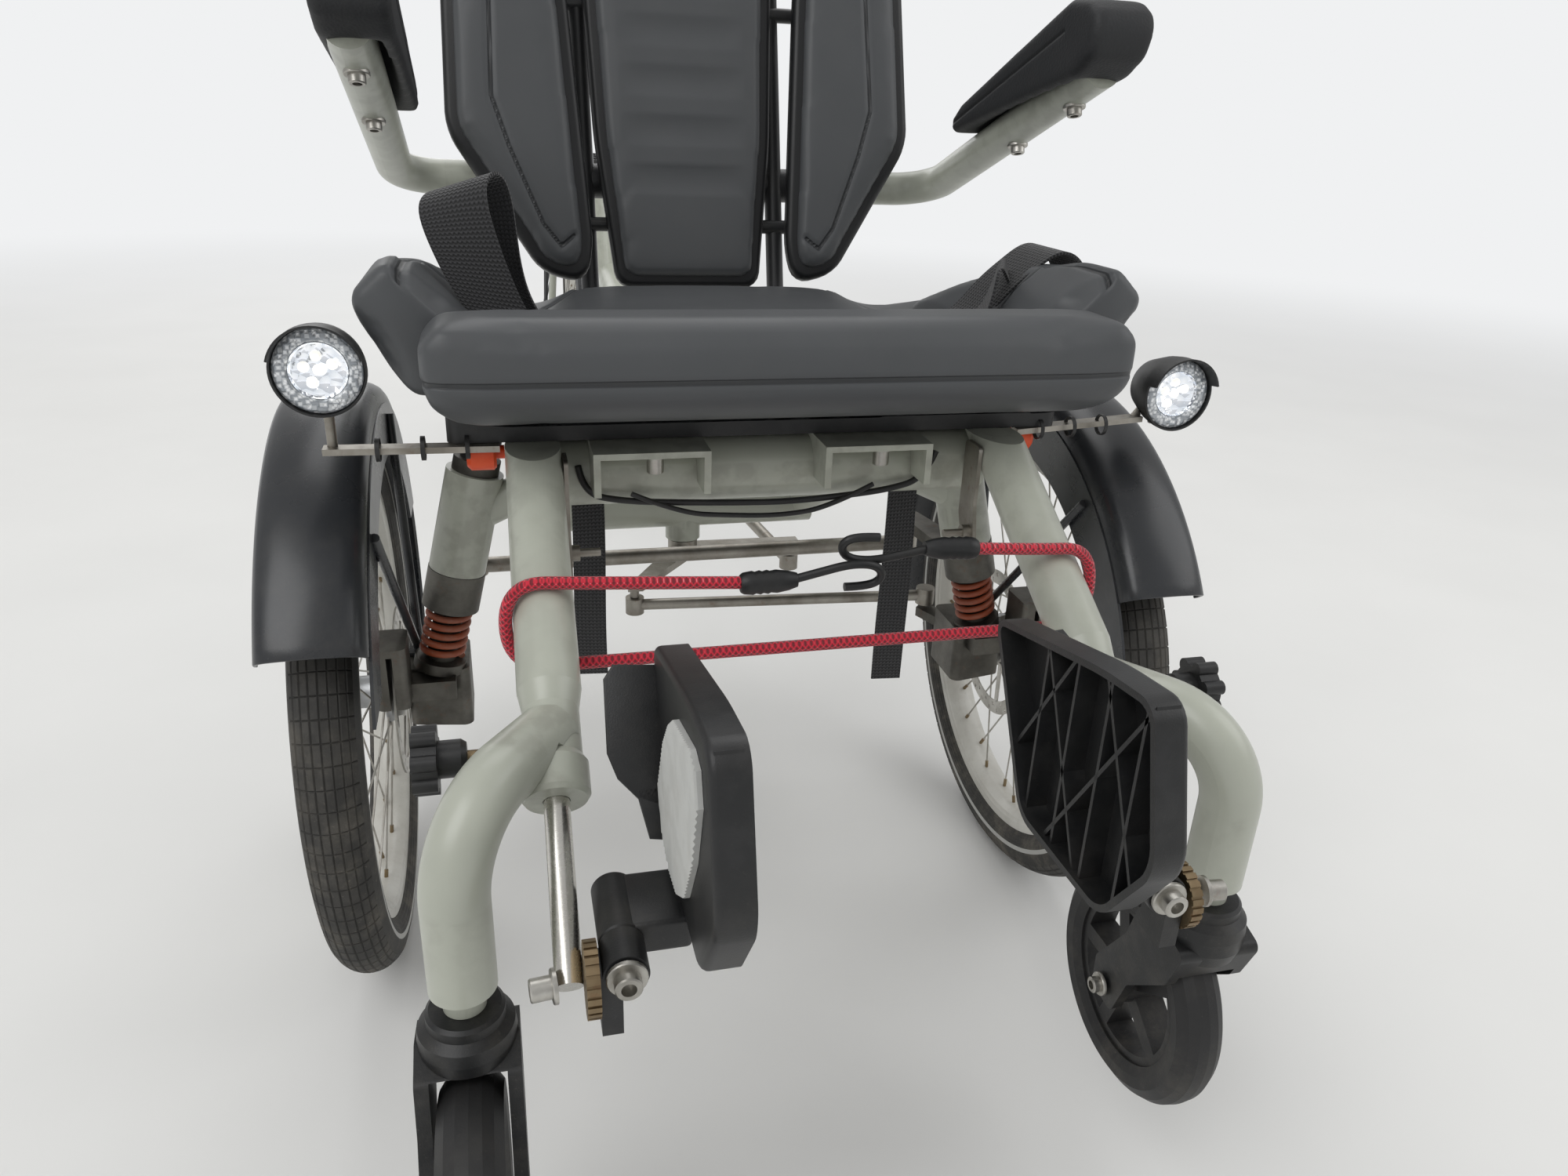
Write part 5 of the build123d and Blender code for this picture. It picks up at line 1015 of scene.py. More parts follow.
class OBJECT_OT_tricycle_wheels(bpy.types.Operator):
    """Tyres, rims, spokes, hubs and brake discs"""
    bl_idname = "object.tricycle_wheels"
    bl_label = "Wheels"

    def execute(self, context):
        tyre = wheel_tyre("tyre_made", WHEEL_Z / 1000, width=0.053, around=90)
        rim = wheel_rim("rim_made", 0.209)
        wires, nuts = wheel_spokes("spokes_made", rim_in=0.1925, flange_r=0.0285, flange=0.0215, count=32)
        hub = wheel_hub("hub_made", width=0.066, barrel=0.017, flange_r=0.030, flange=0.0215, bore=0.0077)
        disc = brake_disc("disc_made")
        for word, side in SIDES:
            out = wheel_frame(side)
            body = f"wheel_{word}"
            made = copy(tyre, f"tyre_front_{word}", out)
            done(made, "tyre_rubber", body, angle=50)
            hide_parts(f"front_tyre_{word}")
            made = copy(rim, f"rim_front_{word}", out)
            done(made, "rim_alloy", body)
            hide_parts(f"front_wheel_{word}")
            for piece, name, finish, shift in (
                    (wires, "spokes", "spoke_steel", 0), (nuts, "nipples", "brass_plate", 0),
                    (hub, "hub", "alloy", 0), (disc, "disc", "bolt_steel", -0.034)):
                place = out @ Matrix.Translation((0, 0, shift))
                done(copy(piece, f"{name}_front_{word}", place), finish, body)
            cap = turned(f"hub_cap_{word}", [
                (0.0, 0.0445), (0.008, 0.0442), (0.0108, 0.0418), (0.0112, 0.036), (0.0112, 0.034),
                (0.0, 0.034)], 32)
            done(put(cap, out), "black_plastic", f"knuckle_{word}")
        for piece in (tyre, rim, wires, nuts, hub, disc):
            bpy.data.objects.remove(piece)
        out = axes(at(*REAR_AXLE), (0, 1, 0), (1, 0, 0))
        made = put(wheel_tyre("tyre_rear", 0.300, width=0.047, around=108), out)
        done(made, "rear_tyre_rubber", "rear_wheel", angle=50)
        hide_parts("rear_tyre")
        made = put(wheel_rim("rim_rear", 0.258), out)
        done(made, "rim_alloy", "rear_wheel")
        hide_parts("rear_wheel")
        wires, nuts = wheel_spokes("spokes_rear", rim_in=0.2415, flange_r=0.0485, flange=0.034, count=36)
        done(put(wires, out), "spoke_steel", "rear_wheel")
        done(put(nuts, out), "brass_plate", "rear_wheel")
        hub = wheel_hub("hub_rear", width=0.092, barrel=0.044, flange_r=0.050, flange=0.034, bore=0.0052)
        done(put(hub, out), "alloy", "rear_wheel")
        return {"FINISHED"}


# Seat and back

class OBJECT_OT_tricycle_seat(bpy.types.Operator):
    """Moulded seat: base pad, front roll and the two raised wings"""
    bl_idname = "object.tricycle_seat"
    bl_label = "Seat"

    def execute(self, context):
        # Base pad: raised middle, a dip at each side, pressed seams
        hull = [(-0.250, -0.203), (-0.238, -0.250), (0.238, -0.250), (0.250, -0.203), (0.248, 0.058),
                (0.203, 0.118), (-0.203, 0.118), (-0.248, 0.058)]
        base = rounded_plate("seat_base", hull, 0.0318, corner=(0.02, 4), rim=(0.009, 3))
        swell(base, voxel=0.006, pressure=3.0, cap=0.003)
        for vertex in base.data.vertices:
            if vertex.co.z > -0.016:
                back = min(1.0, max(0.0, (vertex.co.y + 0.09) / 0.14))
                back = back * back * (3 - 2 * back)
                dip = max(0.0, 1 - ((abs(vertex.co.x) - 0.176) / 0.050) ** 2)
                crest = max(0.0, 1 - (vertex.co.x / 0.125) ** 4)
                vertex.co.z += back * (0.004 * crest - 0.0145 * dip)
        for sign in (-1, 1):
            line = [(sign * x, y) for x, y in (
                (0.112, 0.118), (0.122, 0.092), (0.150, 0.060), (0.172, 0.0), (0.178, -0.10), (0.178, -0.22))]
            seam(base, lambda v: distance_to_path(v.co, line) if v.co.z > -0.022 else 1.0, depth=0.0014)
        put(base, axes(at(0, 0, 606.2), (1, 0, 0), (0, 0, 1)))
        done(base, "seat_foam", "root", angle=60)
        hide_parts("seat_cushion")

        # Front roll: softly rounded top, a deep curve under its lower edge and one thin seam
        front = [(0.245, 0.022), (0.233, 0.0342), (-0.233, 0.0342), (-0.245, 0.022), (-0.245, -0.004),
                 (-0.240, -0.019), (-0.228, -0.030), (-0.212, -0.0345), (0.212, -0.0345), (0.228, -0.030),
                 (0.240, -0.019), (0.245, -0.004)]
        roll = rounded_plate("seat_roll", front, 0.071, corner=None, rim=(0.013, 4))
        swell(roll, voxel=0.005, pressure=4.0, cap=0.0025)
        for vertex in roll.data.vertices:
            under = max(0.0, (-0.002 - vertex.co.y) / 0.034)
            if vertex.co.z > -0.035:
                vertex.co.z -= 0.020 * under ** 2.2
        seam(roll, lambda v: abs(v.co.y + 0.0015) if v.co.z > -0.05 else 1.0, depth=0.0008, width=0.003)
        put(roll, axes(at(0, -283, 608.8), (1, 0, 0), (0, -1, 0)))
        done(roll, "seat_foam", "root", angle=60)

        # Raised wings that flare outwards and run out towards the back
        section = [(0.0, -0.093), (0.0, -0.067), (0.032, -0.033), (0.068, 0.0), (0.096, -0.025),
                   (0.060, -0.092)]
        groove = [(0.008, -0.112), (0.030, -0.104), (0.054, -0.108), (0.060, -0.124), (0.060, -0.22)]
        ridge = [(-0.165, 0.001), (-0.060, -0.019), (0.0, -0.045), (0.061, -0.067)]
        for word, side in SIDES:
            wing = outline_box(f"seat_wing_{word}", section, 0.266)
            # Outline across and up, with the thickness running towards the back
            put(wing, Matrix(((1, 0, 0, 0), (0, 0, -1, -0.206), (0, 1, 0, 0), (0, 0, 0, 1))))
            with editing(wing):
                for (y0, z0), (y1, z1) in zip(ridge, ridge[1:]):
                    slice_by((0, y0, z0), Vector((0, z0 - z1, y1 - y0)).normalized(), use_fill=True,
                             clear_outer=True)
                everything()
                outwards()
                bevel(0.011, 4)
            swell(wing, voxel=0.005, pressure=3.0, cap=0.0025)
            seam(wing, lambda v: distance_to_path(v.co, groove) if v.normal.z > 0.35 else 1.0,
                 depth=0.0022, width=0.005)
            if side < 0:
                with editing(wing):
                    everything()
                    bpy.ops.transform.mirror(constraint_axis=(True, False, False), center_override=(0, 0, 0))
                    outwards()
            put(wing, Matrix.Translation(at(side * 196, 0, 673)))
            done(wing, "seat_foam", "root", angle=60)
        return {"FINISHED"}


def panel_frame(base_y, base_z):
    """Frame of a back panel: x across, y up the panel, z towards the passenger."""
    return axes(at(0, base_y, base_z), (1, 0, 0), (0, -cos(RECLINE), sin(RECLINE)))


def back_panel(name, shape, base_z, groove, centre_y):
    """A back panel: a black rim board and a smaller charcoal pad with pressed lines on its front."""
    tall = 1 / cos(RECLINE)
    outline, path = ([(x / 1000, (z - base_z) / 1000 * tall) for x, z in line] for line in (shape, groove))
    board = rounded_plate(name + "_rim", outline, 0.019, corner=(0.016, 4), rim=(0.006, 3))
    put(board, Matrix.Translation((0, 0, -0.007)))
    pad = rounded_plate(name, drawn_in(outline, 0.0085), 0.017, corner=(0.013, 4), rim=(0.005, 3))
    swell(pad, voxel=0.005, pressure=4.0, cap=0.0025)
    seam(pad, lambda v: distance_to_path(v.co, path) if v.co.z > -0.006 else 1.0,
         depth=0.0016, width=0.0045)
    for piece in (board, pad):
        put(piece, panel_frame(centre_y, base_z))
    return pad, board


class OBJECT_OT_tricycle_back(bpy.types.Operator):
    """Moulded backrest: channelled middle panel and two side panels"""
    bl_idname = "object.tricycle_back"
    bl_label = "Back"

    def execute(self, context):
        middle = [(-74, 600), (74, 600), (90, 740), (96, 900), (90, 1090), (60, 1130), (-60, 1130),
                  (-90, 1090), (-96, 900), (-90, 740)]
        pad, board = back_panel("back_middle", middle, 600, [(0, 400), (1, 400)], 174)
        # Soft channels across the pad, stored up the panel from its lower edge
        place = panel_frame(174, 600)
        inverse = place.inverted()
        for number in range(8):
            height = 0.105 + 0.047 * number
            for vertex in pad.data.vertices:
                local = inverse @ vertex.co
                if local.z > -0.008:
                    dent = 1 - min(1, abs(local.y - height) / 0.015) ** 2
                    side = max(0.0, 1 - (abs(local.x) / 0.064) ** 4)
                    if dent > 0 and side > 0:
                        local.z -= 0.0030 * dent * side
                        vertex.co = place @ local
        done(pad, "seat_foam", "root", angle=60)
        done(board, "edge_foam", "root", angle=50)
        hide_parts("backrest_centre")
        for word, side in SIDES:
            shape = [(side * x, z) for x, z in (
                (98, 640), (108, 608), (150, 618), (232, 744), (227, 900), (190, 1060), (130, 1085),
                (113, 880))]
            groove = [(side * x, z) for x, z in (
                (117, 650), (130, 640), (146, 660), (174, 728), (188, 772), (184, 880), (166, 1000),
                (150, 1030), (138, 1034), (127, 1000))]
            pad, board = back_panel(f"back_side_{word}", shape, 605, groove, 149)
            done(pad, "seat_foam", "root", angle=60)
            done(board, "edge_foam", "root", angle=50)
            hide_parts(f"backrest_{word}")
        return {"FINISHED"}


class OBJECT_OT_tricycle_arm_pads(bpy.types.Operator):
    """Grained foam pads of the armrests, and their bolts"""
    bl_idname = "object.tricycle_arm_pads"
    bl_label = "Arm pads"

    def execute(self, context):
        # The armrest's tube rises from its hinge to the pad
        hinge_y, hinge_z = 250, 695
        rise = atan2(ARM_Z - hinge_z, hinge_y - ARM_Y)
        low = Vector((0, -sin(rise), -cos(rise)))
        along = Vector((0, cos(rise), -sin(rise)))
        width = 0.052
        for word, side in SIDES:
            # Side outline along the tube, drawn in the local xy plane
            outer = [(-0.034, -0.006), (-0.046, 0.008), (-0.047, 0.022), (-0.034, 0.036), (-0.008, 0.047),
                     (0.090, 0.0432), (0.205, 0.0392), (0.232, 0.031), (0.232, 0.0175), (-0.006, -0.012)]
            pad = outline_box(f"pad_{word}", outer, width)
            with editing(pad):
                everything()
                bevel(0.006, 3)
            # The tube lies in a channel along the underside
            tube = bar("tube", (0, 0, -width / 2), (0.300, 0, -width / 2), 0.0172, 32)
            modify(pad, "Channel", "BOOLEAN", operation="DIFFERENCE", object=tube)
            bpy.data.objects.remove(tube)
            modify(pad, "Even skin", "REMESH", mode="VOXEL", voxel_size=0.003)
            modify(pad, "Soft", "SMOOTH", factor=0.5, iterations=4)
            seam(pad, lambda v: abs(v.co.y - 0.026) if v.co.x > 0 else 1.0, depth=0.0006, width=0.003)
            put(pad, axes(at(side * 276 + 26, ARM_Y, ARM_Z), along, (1, 0, 0)))
            done(pad, "arm_foam", f"armrest_{word}", angle=60)
            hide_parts(f"arm_pad_{word}")
            for reach in (0.045, 0.150):
                spot = at(side * 282, ARM_Y, ARM_Z) + along * reach + low * 0.0165
                bolt_head(f"arm_bolt_{word}_{int(reach * 1000)}", spot, low, 0.0062, f"armrest_{word}")
        return {"FINISHED"}


def bolt_head(name, place, direction, radius, body, height=None):
    """A socket-head bolt that looks in a direction, with its washer and hexagon socket."""
    height = height or radius * 1.1
    top = height + 0.0007
    head = turned(name, [
        (0.0, -0.001), (radius * 1.5, -0.001), (radius * 1.5, 0.0010), (radius * 1.42, 0.0016),
        (radius, 0.0016), (radius, height), (radius * 0.9, top), (radius * 0.56, top)], segments=24)
    with editing(head):
        choose(head, lambda e: e.is_boundary and e.verts[0].co.z > height, "EDGE")
        bpy.ops.mesh.extrude_edges_move(TRANSFORM_OT_translate={"value": (0, 0, -radius * 0.7)})
        bpy.ops.mesh.edge_face_add()
        everything()
        outwards()
    put(head, looking(place, direction))
    return done(head, "bolt_steel", body)


# Straps and cords

def strap(name, line, width, thick=0.0022):
    """A flat woven strap and its length: its line lists middles and the directions across it there."""
    rungs = []
    for spot, across in line:
        half = Vector(across).normalized() * width / 2
        rungs.append((at(*spot) - half, at(*spot) + half))
    free()
    bpy.ops.mesh.primitive_plane_add(size=1)
    piece = named(name)
    with editing(piece):
        mesh = bmesh.from_edit_mesh(piece.data)
        corners = sorted(mesh.verts, key=lambda v: (v.co.y, v.co.x))
        for vertex, spot in zip(corners, (*rungs[0], *rungs[1])):
            vertex.co = spot
        bmesh.update_edit_mesh(piece.data)
        for before, here in zip(rungs[1:], rungs[2:]):
            choose(piece, lambda e: all(min((v.co - s).length for s in before) < SAME for v in e.verts),
                   "EDGE")
            bpy.ops.mesh.extrude_edges_move()
            mesh = bmesh.from_edit_mesh(piece.data)
            for vertex in [v for v in mesh.verts if v.select]:
                nearest = 0 if (vertex.co - before[0]).length < (vertex.co - before[1]).length else 1
                vertex.co = here[nearest]
            bmesh.update_edit_mesh(piece.data)
    # The strap's own map: across and along, in metres
    lengths = [0.0]
    for (a, b), (c, d) in zip(rungs, rungs[1:]):
        lengths.append(lengths[-1] + ((c + d) / 2 - (a + b) / 2).length)
    layer = piece.data.uv_layers.active or piece.data.uv_layers.new(name="UVMap")
    for loop in piece.data.loops:
        co = piece.data.vertices[loop.vertex_index].co
        row, end = min(((n, k) for n in range(len(rungs)) for k in (0, 1)),
                       key=lambda spot: (rungs[spot[0]][spot[1]] - co).length)
        layer.data[loop.index].uv = ((end - 0.5) * width, lengths[row])
    modify(piece, "Softer", "SUBSURF", levels=2, render_levels=2, boundary_smooth="PRESERVE_CORNERS")
    modify(piece, "Thickness", "SOLIDIFY", thickness=thick, offset=0.0)
    return piece, lengths[-1]


class OBJECT_OT_tricycle_straps(bpy.types.Operator):
    """Webbing over the seat's wings and the loose ends under the seat"""
    bl_idname = "object.tricycle_straps"
    bl_label = "Straps"

    def execute(self, context):
        first, length = strap("strap_loop_right", [
            ((-176, -152, 610.5), (1, 0, -0.10)), ((-190, -150, 620), (1, 0, -0.22)),
            ((-203, -146, 642), (1, 0, -0.16)), ((-214, -138, 670), (1, -0.05, 0.0)),
            ((-222, -130, 696), (1, -0.10, 0.16)), ((-221, -122, 710), (1, -0.15, 0.30)),
            ((-212, -108, 716), (1, -0.25, 0.35)), ((-204, -97, 708), (1, -0.35, 0.30)),
            ((-201, -90, 690), (1, -0.35, 0.10)), ((-200, -84, 664), (1, -0.3, -0.10)),
            ((-194, -76, 640), (1, -0.2, -0.35)), ((-184, -62, 622), (1, -0.1, -0.45))], width=0.048)
        done(first, "webbing", "root", angle=60)
        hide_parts("seat_straps")
        second, length = strap("strap_over_left", [(spot, (-0.25, 1, 0.05)) for spot in (
            (176, -84, 608.9), (194, -83, 612), (208, -82, 627), (222, -81, 643), (240, -80, 657),
            (254, -79, 668), (268, -78, 672), (282, -78, 665), (291, -78, 650))], width=0.046)
        done(second, "webbing", "root", angle=60)
        third, length = strap("strap_fold_left", [
            ((183, -118, 611), (0.3, 1, 0.1)), ((196, -116, 622), (0.3, 1, 0.2)),
            ((204, -114, 642), (0.4, 1, 0.2)), ((208, -110, 658), (0.5, 1, 0.2)),
            ((214, -104, 662), (0.5, 1, 0.2)), ((220, -98, 655), (0.5, 1, 0.1)),
            ((226, -92, 647), (0.4, 1, 0.1))], width=0.030)
        done(third, "webbing", "root", angle=60)
        for name, x, y, low in (("strap_end_right", -133, -100, 305), ("strap_end_left", 132, -131, 292)):
            made, length = strap(name, [
                ((x, y, 543), (1, 0.1, 0)), ((x, y + 1, 500), (1, 0.2, 0)),
                ((x + 1, y + 1, 450), (1, 0.1, 0)), ((x, y - 2, 400), (1, -0.1, 0)),
                ((x - 1, y - 1, 350), (1, -0.25, 0)), ((x, y + 2, low), (1, -0.1, 0))],
                width=0.027, thick=0.0018)
            done(made, "webbing", "root", angle=60)
        return {"FINISHED"}


def cord(name, points, diameter):
    """A cord's smooth line with its points as control points."""
    free()
    bpy.ops.curve.primitive_nurbs_path_add()
    piece = named(name)
    piece.data.splines.clear()
    spline = piece.data.splines.new("NURBS")
    spline.points.add(len(points) - 1)
    for point, place in zip(spline.points, points):
        point.co = (*place, 1.0)
        point.radius = diameter
    spline.order_u = 3
    spline.use_endpoint_u = True
    spline.resolution_u = 10
    piece.data.dimensions = "3D"
    piece.data.bevel_depth = 0.5
    piece.data.bevel_resolution = 4
    piece.data.use_fill_caps = True
    return piece


def line_length(piece):
    """The length of a cord's own line."""
    depth = piece.data.bevel_depth
    piece.data.bevel_depth = 0
    mesh = bpy.data.meshes.new_from_object(piece)
    piece.data.bevel_depth = depth
    spots = [vertex.co for vertex in mesh.vertices]
    total = sum((spots[e.vertices[0]] - spots[e.vertices[1]]).length for e in mesh.edges)
    bpy.data.meshes.remove(mesh)
    return total


class OBJECT_OT_tricycle_cords(bpy.types.Operator):
    """Elastic cord with its hooks, and the cables along the cross tube"""
    bl_idname = "object.tricycle_cords"
    bl_label = "Cords"

    def execute(self, context):
        # The cord runs round both legs, square to them, at a height where it lies in the photo
        fall, run = LEG_TOP_Z - LEG_FOOT_Z, LEG_TOP_Y - LEG_FOOT_Y
        slope = atan2(fall, run)
        cord_y = -315
        height = LEG_TOP_Z - (LEG_TOP_Y - cord_y) * fall / run
        leg_x, spare, reach = 177, 1.5, 24.75
        over = (0, -sin(slope) * reach, cos(slope) * reach)
        wide = leg_x + spare + reach

        def by_leg(x, sign, dy=0.0, dz=0.0):
            return at(x, cord_y + sign * over[1] + dy, height + sign * over[2] + dz)

        low = by_leg(-42, 1, -6, -8)
        high = by_leg(98, 1, -6, 8)
        drop = Vector((0, -cos(slope), -sin(slope))) * 0.032
        points = [low, by_leg(-150, 1, -2, -3), by_leg(-wide, 1), by_leg(-wide, -1) + drop,
                  by_leg(-150, -1) + drop, by_leg(150, -1) + drop, by_leg(wide, -1) + drop, by_leg(wide, 1),
                  by_leg(156, 1, -2, 2), high]
        red = cord("elastic_cord", points, context.scene.tricycle_sizes.cord)
        done(red, "red_cord", "root", angle=None)
        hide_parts("bungee_cord")
        hooks = []
        for name, start, direction, sign in (
                ("hook_low", low, (1, -0.02, 0.02), 1), ("hook_high", high, (-1, 0, 0.05), -1)):
            run = Vector(direction).normalized()
            grip = turned(name + "_grip", [
                (0.0, -0.012), (0.0058, -0.012), (0.0072, -0.010), (0.0080, -0.004), (0.0072, -0.002),
                (0.0080, 0.001), (0.0072, 0.003), (0.0080, 0.006), (0.0072, 0.008), (0.0078, 0.012),
                (0.0066, 0.020), (0.0048, 0.026), (0.0, 0.026)], 24)
            put(grip, looking(start, run))
            side = Vector((0, -0.35, 0.94)) * sign
            hook = cord(name + "_wire", [start + run * along + side * aside for along, aside in (
                (0.022, 0.0), (0.040, 0.005), (0.062, 0.011), (0.080, 0.008), (0.086, -0.003),
                (0.078, -0.011), (0.060, -0.010))], diameter=0.0058)
            pick(hook)
            bpy.ops.object.convert(target="MESH")
            hook = bpy.context.object
            done(grip, "black_plastic", "root", angle=50)
            done(hook, "black_plastic", "root", angle=60)
            hooks += [grip, hook]
        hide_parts("bungee_hooks")
        line_length(red)
        # Two cables hang in front of the cross tube
        tube_y, tube_r, cable_r, gap = -170, 25, 2.5, 0.3
        y = tube_y - tube_r - cable_r - gap
        for name, spots, diameter in (
                ("cable_long", ((-146, 0, 528), (-143, 0, 507), (-116, 0, 500), (-78, 0, 497), (-36, 0, 495),
                                (8, 0, 493.5), (52, 0, 496), (94, 0, 500), (123, 0, 508), (131, 0, 530)),
                 0.005),
                ("cable_short", ((-108, -3, 506), (-72, -5, 490), (-34, -4, 486), (6, -4, 484), (44, -5, 489),
                                 (80, -3, 506)), 0.004)):
            points = [at(x, y + step, z) for x, step, z in spots]
            cable = cord(name, points, diameter)
            done(cable, "cable_cover", "root", angle=None)
            line_length(cable)
        return {"FINISHED"}


# Lamps and fittings

LAMPS = (("right", -313, -194, 600), ("left", 352, -170, 565))


class OBJECT_OT_tricycle_lamps(bpy.types.Operator):
    """Round head lamps: hooded shell, prismatic ring, mirror and diodes"""
    bl_idname = "object.tricycle_lamps"
    bl_label = "Lamps"

    def execute(self, context):
        def on_hood(face):
            spot = face.calc_center_median()
            return spot.z > 0.0083 and spot.y > 0.006 and spot.xy.length > 0.0292

        ahead = Vector((0, -1, 0))
        for word, x, y, z in LAMPS:
            place = axes(at(x, y, z), (1, 0, 0), ahead)
            shell = turned(f"lamp_shell_{word}", [
                (0.0, -0.044), (0.011, -0.044), (0.0135, -0.042), (0.0225, -0.030), (0.0290, -0.010),
                (0.0303, -0.002), (0.0308, 0.002), (0.0308, 0.0085), (0.0294, 0.0088), (0.0290, 0.004),
                (0.0286, 0.001), (0.0, 0.001)], 48)
            with editing(shell):
                choose(shell, on_hood)
                bpy.ops.mesh.extrude_region_move(TRANSFORM_OT_translate={"value": (0, 0.0012, 0.010)})
            put(shell, place)
            done(shell, "black_plastic", "root", angle=45)
            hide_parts("lamp_housings")
            ring = turned(f"lamp_ring_{word}", [
                (0.0188, 0.0015), (0.0193, 0.0052), (0.0207, 0.0066), (0.0268, 0.0066), (0.0286, 0.0052),
                (0.0286, 0.0015)], 64, ring=True)
            put(ring, place)
            done(ring, "lamp_glass", "root")
            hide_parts("lamp_lenses")
            mirror = turned(f"lamp_mirror_{word}", [
                (0.0189, 0.0050), (0.0175, 0.0030), (0.0140, 0.0022), (0.0080, 0.0015), (0.0, 0.0012)])
            put(mirror, place)
            done(mirror, "lamp_mirror", "root")
            # Four diodes round a middle one
            diodes = []
            for number in range(5):
                angle = 2 * pi * number / 5 + 0.4
                reach = 0.0 if number == 4 else 0.0095
                spot = Vector((reach * cos(angle), reach * sin(angle), 0.0022))
                bead = turned("bead", [(0.0038, -0.001), (0.0036, 0.0008), (0.0026, 0.0022), (0.0, 0.0028)],
                              20)
                diodes.append(put(bead, Matrix.Translation(spot)))
            beads = join(f"lamp_diodes_{word}", diodes)
            put(beads, place)
            done(beads, "lamp_diode", "root")
            under = at(x, y, z) - ahead * 0.022 + Vector((0, 0, -0.026))
            bolt_head(f"lamp_bolt_{word}", under, (0, 0, -1), 0.0045, "root")
        return {"FINISHED"}


TRAY_DEEP, TRAY_WALL, TRAY_FLOOR = 0.020, 0.0042, 0.0035
RIB_HALF = 0.00125
RIDGE_STEP, RIDGE_RISE, RIDGE_TURN, RIDGES = 0.0018, 0.0011, radians(24), 60


class OBJECT_OT_tricycle_footplates(bpy.types.Operator):
    """Footplates: rounded trays with ribs inside, heel guards and hinge barrels"""
    bl_idname = "object.tricycle_footplates"
    bl_label = "Footplates"

    def execute(self, context):
        for word, side in SIDES:
            place = axes(at(side * 120, PLATE_Y, FOLD_Z), (0, 1, 0), (side, 0, 0))
            outline = [(u / 1000, v * side / 1000) for u, v in (
                (112, 113), (-14, 141), (-64, 147), (-90, 64), (-52, 7), (48, 5))]
            tray = rounded_plate(f"footplate_tray_{word}", outline, TRAY_DEEP, corner=(0.013, 5),
                                 rim=(TRAY_WALL, 4), both=False)
            # Hollow from below, with a wall all round
            with editing(tray):
                choose(tray, lambda f: f.normal.z < -0.9 and f.calc_center_median().z < 0.0001 - TRAY_DEEP)
                bpy.ops.mesh.inset(thickness=TRAY_WALL)
                bpy.ops.mesh.extrude_region_move(
                    TRANSFORM_OT_translate={"value": (0, 0, TRAY_DEEP - TRAY_FLOOR)})
            # Four ribs across the tray and four at a slant, each a slice of its pocket
            ribs = []
            pocket = drawn_in(outline, 0.003)
            for u, turn in (
                    (-56, 90), (-22, 90), (12, 90), (46, 90), (-50, 62), (20, 62), (-20, -58), (50, -58)):
                rib = outline_box("rib", pocket, 0.0135)
                run = Vector((cos(radians(turn)), sin(radians(turn)) * side, 0))
                across = Vector((-run.y, run.x, 0))
                middle = Vector((u / 1000, 75 * side / 1000, 0))
                for way in (1, -1):
                    keep_past(rib, middle - across * way * RIB_HALF, across * way)
                put(rib, Matrix.Translation((0, 0, -TRAY_FLOOR)))
                ribs.append(rib)
            ribs = join(f"footplate_ribs_{word}", ribs)
            # Heel guard on the rear edge
            high, low = (Vector((*outline[number], 0)) for number in (0, -1))
            run = (low - high).normalized()
            standing = place @ Matrix((
                (run.x, 0, run.y, high.x), (run.y, 0, -run.x, high.y), (0, 1, 0, 0), (0, 0, 0, 1)))
            upper = [(0.014, -0.002), (0.012, 0.024), (0.020, 0.030), (0.0628, 0.031), (0.0778, 0.026),
                     (0.0904, 0.015), (0.0980, -0.002)]
            lower = [(0.084, -0.002), (0.084, 0.0160), (0.0904, 0.015), (0.1135, 0.0102), (0.1155, -0.002)]
            leaves = []
            for outline in (upper, lower):
                leaf = rounded_plate("leaf", outline, 0.004, corner=None, rim=(0.0012, 2))
                if side > 0:
                    put(leaf, Matrix.Translation((0, 0, 0.004)))
                leaves.append(leaf)
            guard = join(f"footplate_guard_{word}", leaves)
            put(guard, standing)
            web = block(f"footplate_web_{word}", (0.038, 0.045, 0.0202), 0.003, 3)
            put(web, Matrix.Translation(at(side * 135, -494.5, FOLD_Z)))
            barrel = bar(f"footplate_barrel_{word}", at(side * FOLD_X, -517, FOLD_Z),
                         at(side * FOLD_X, -472, FOLD_Z), 0.012, 48)
            put(tray, place)
            put(ribs, place)
            for piece in (tray, ribs, guard, web, barrel):
                done(piece, "black_plastic", f"footplate_{word}", angle=40)
            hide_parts(f"footplate_{word}")
        return {"FINISHED"}


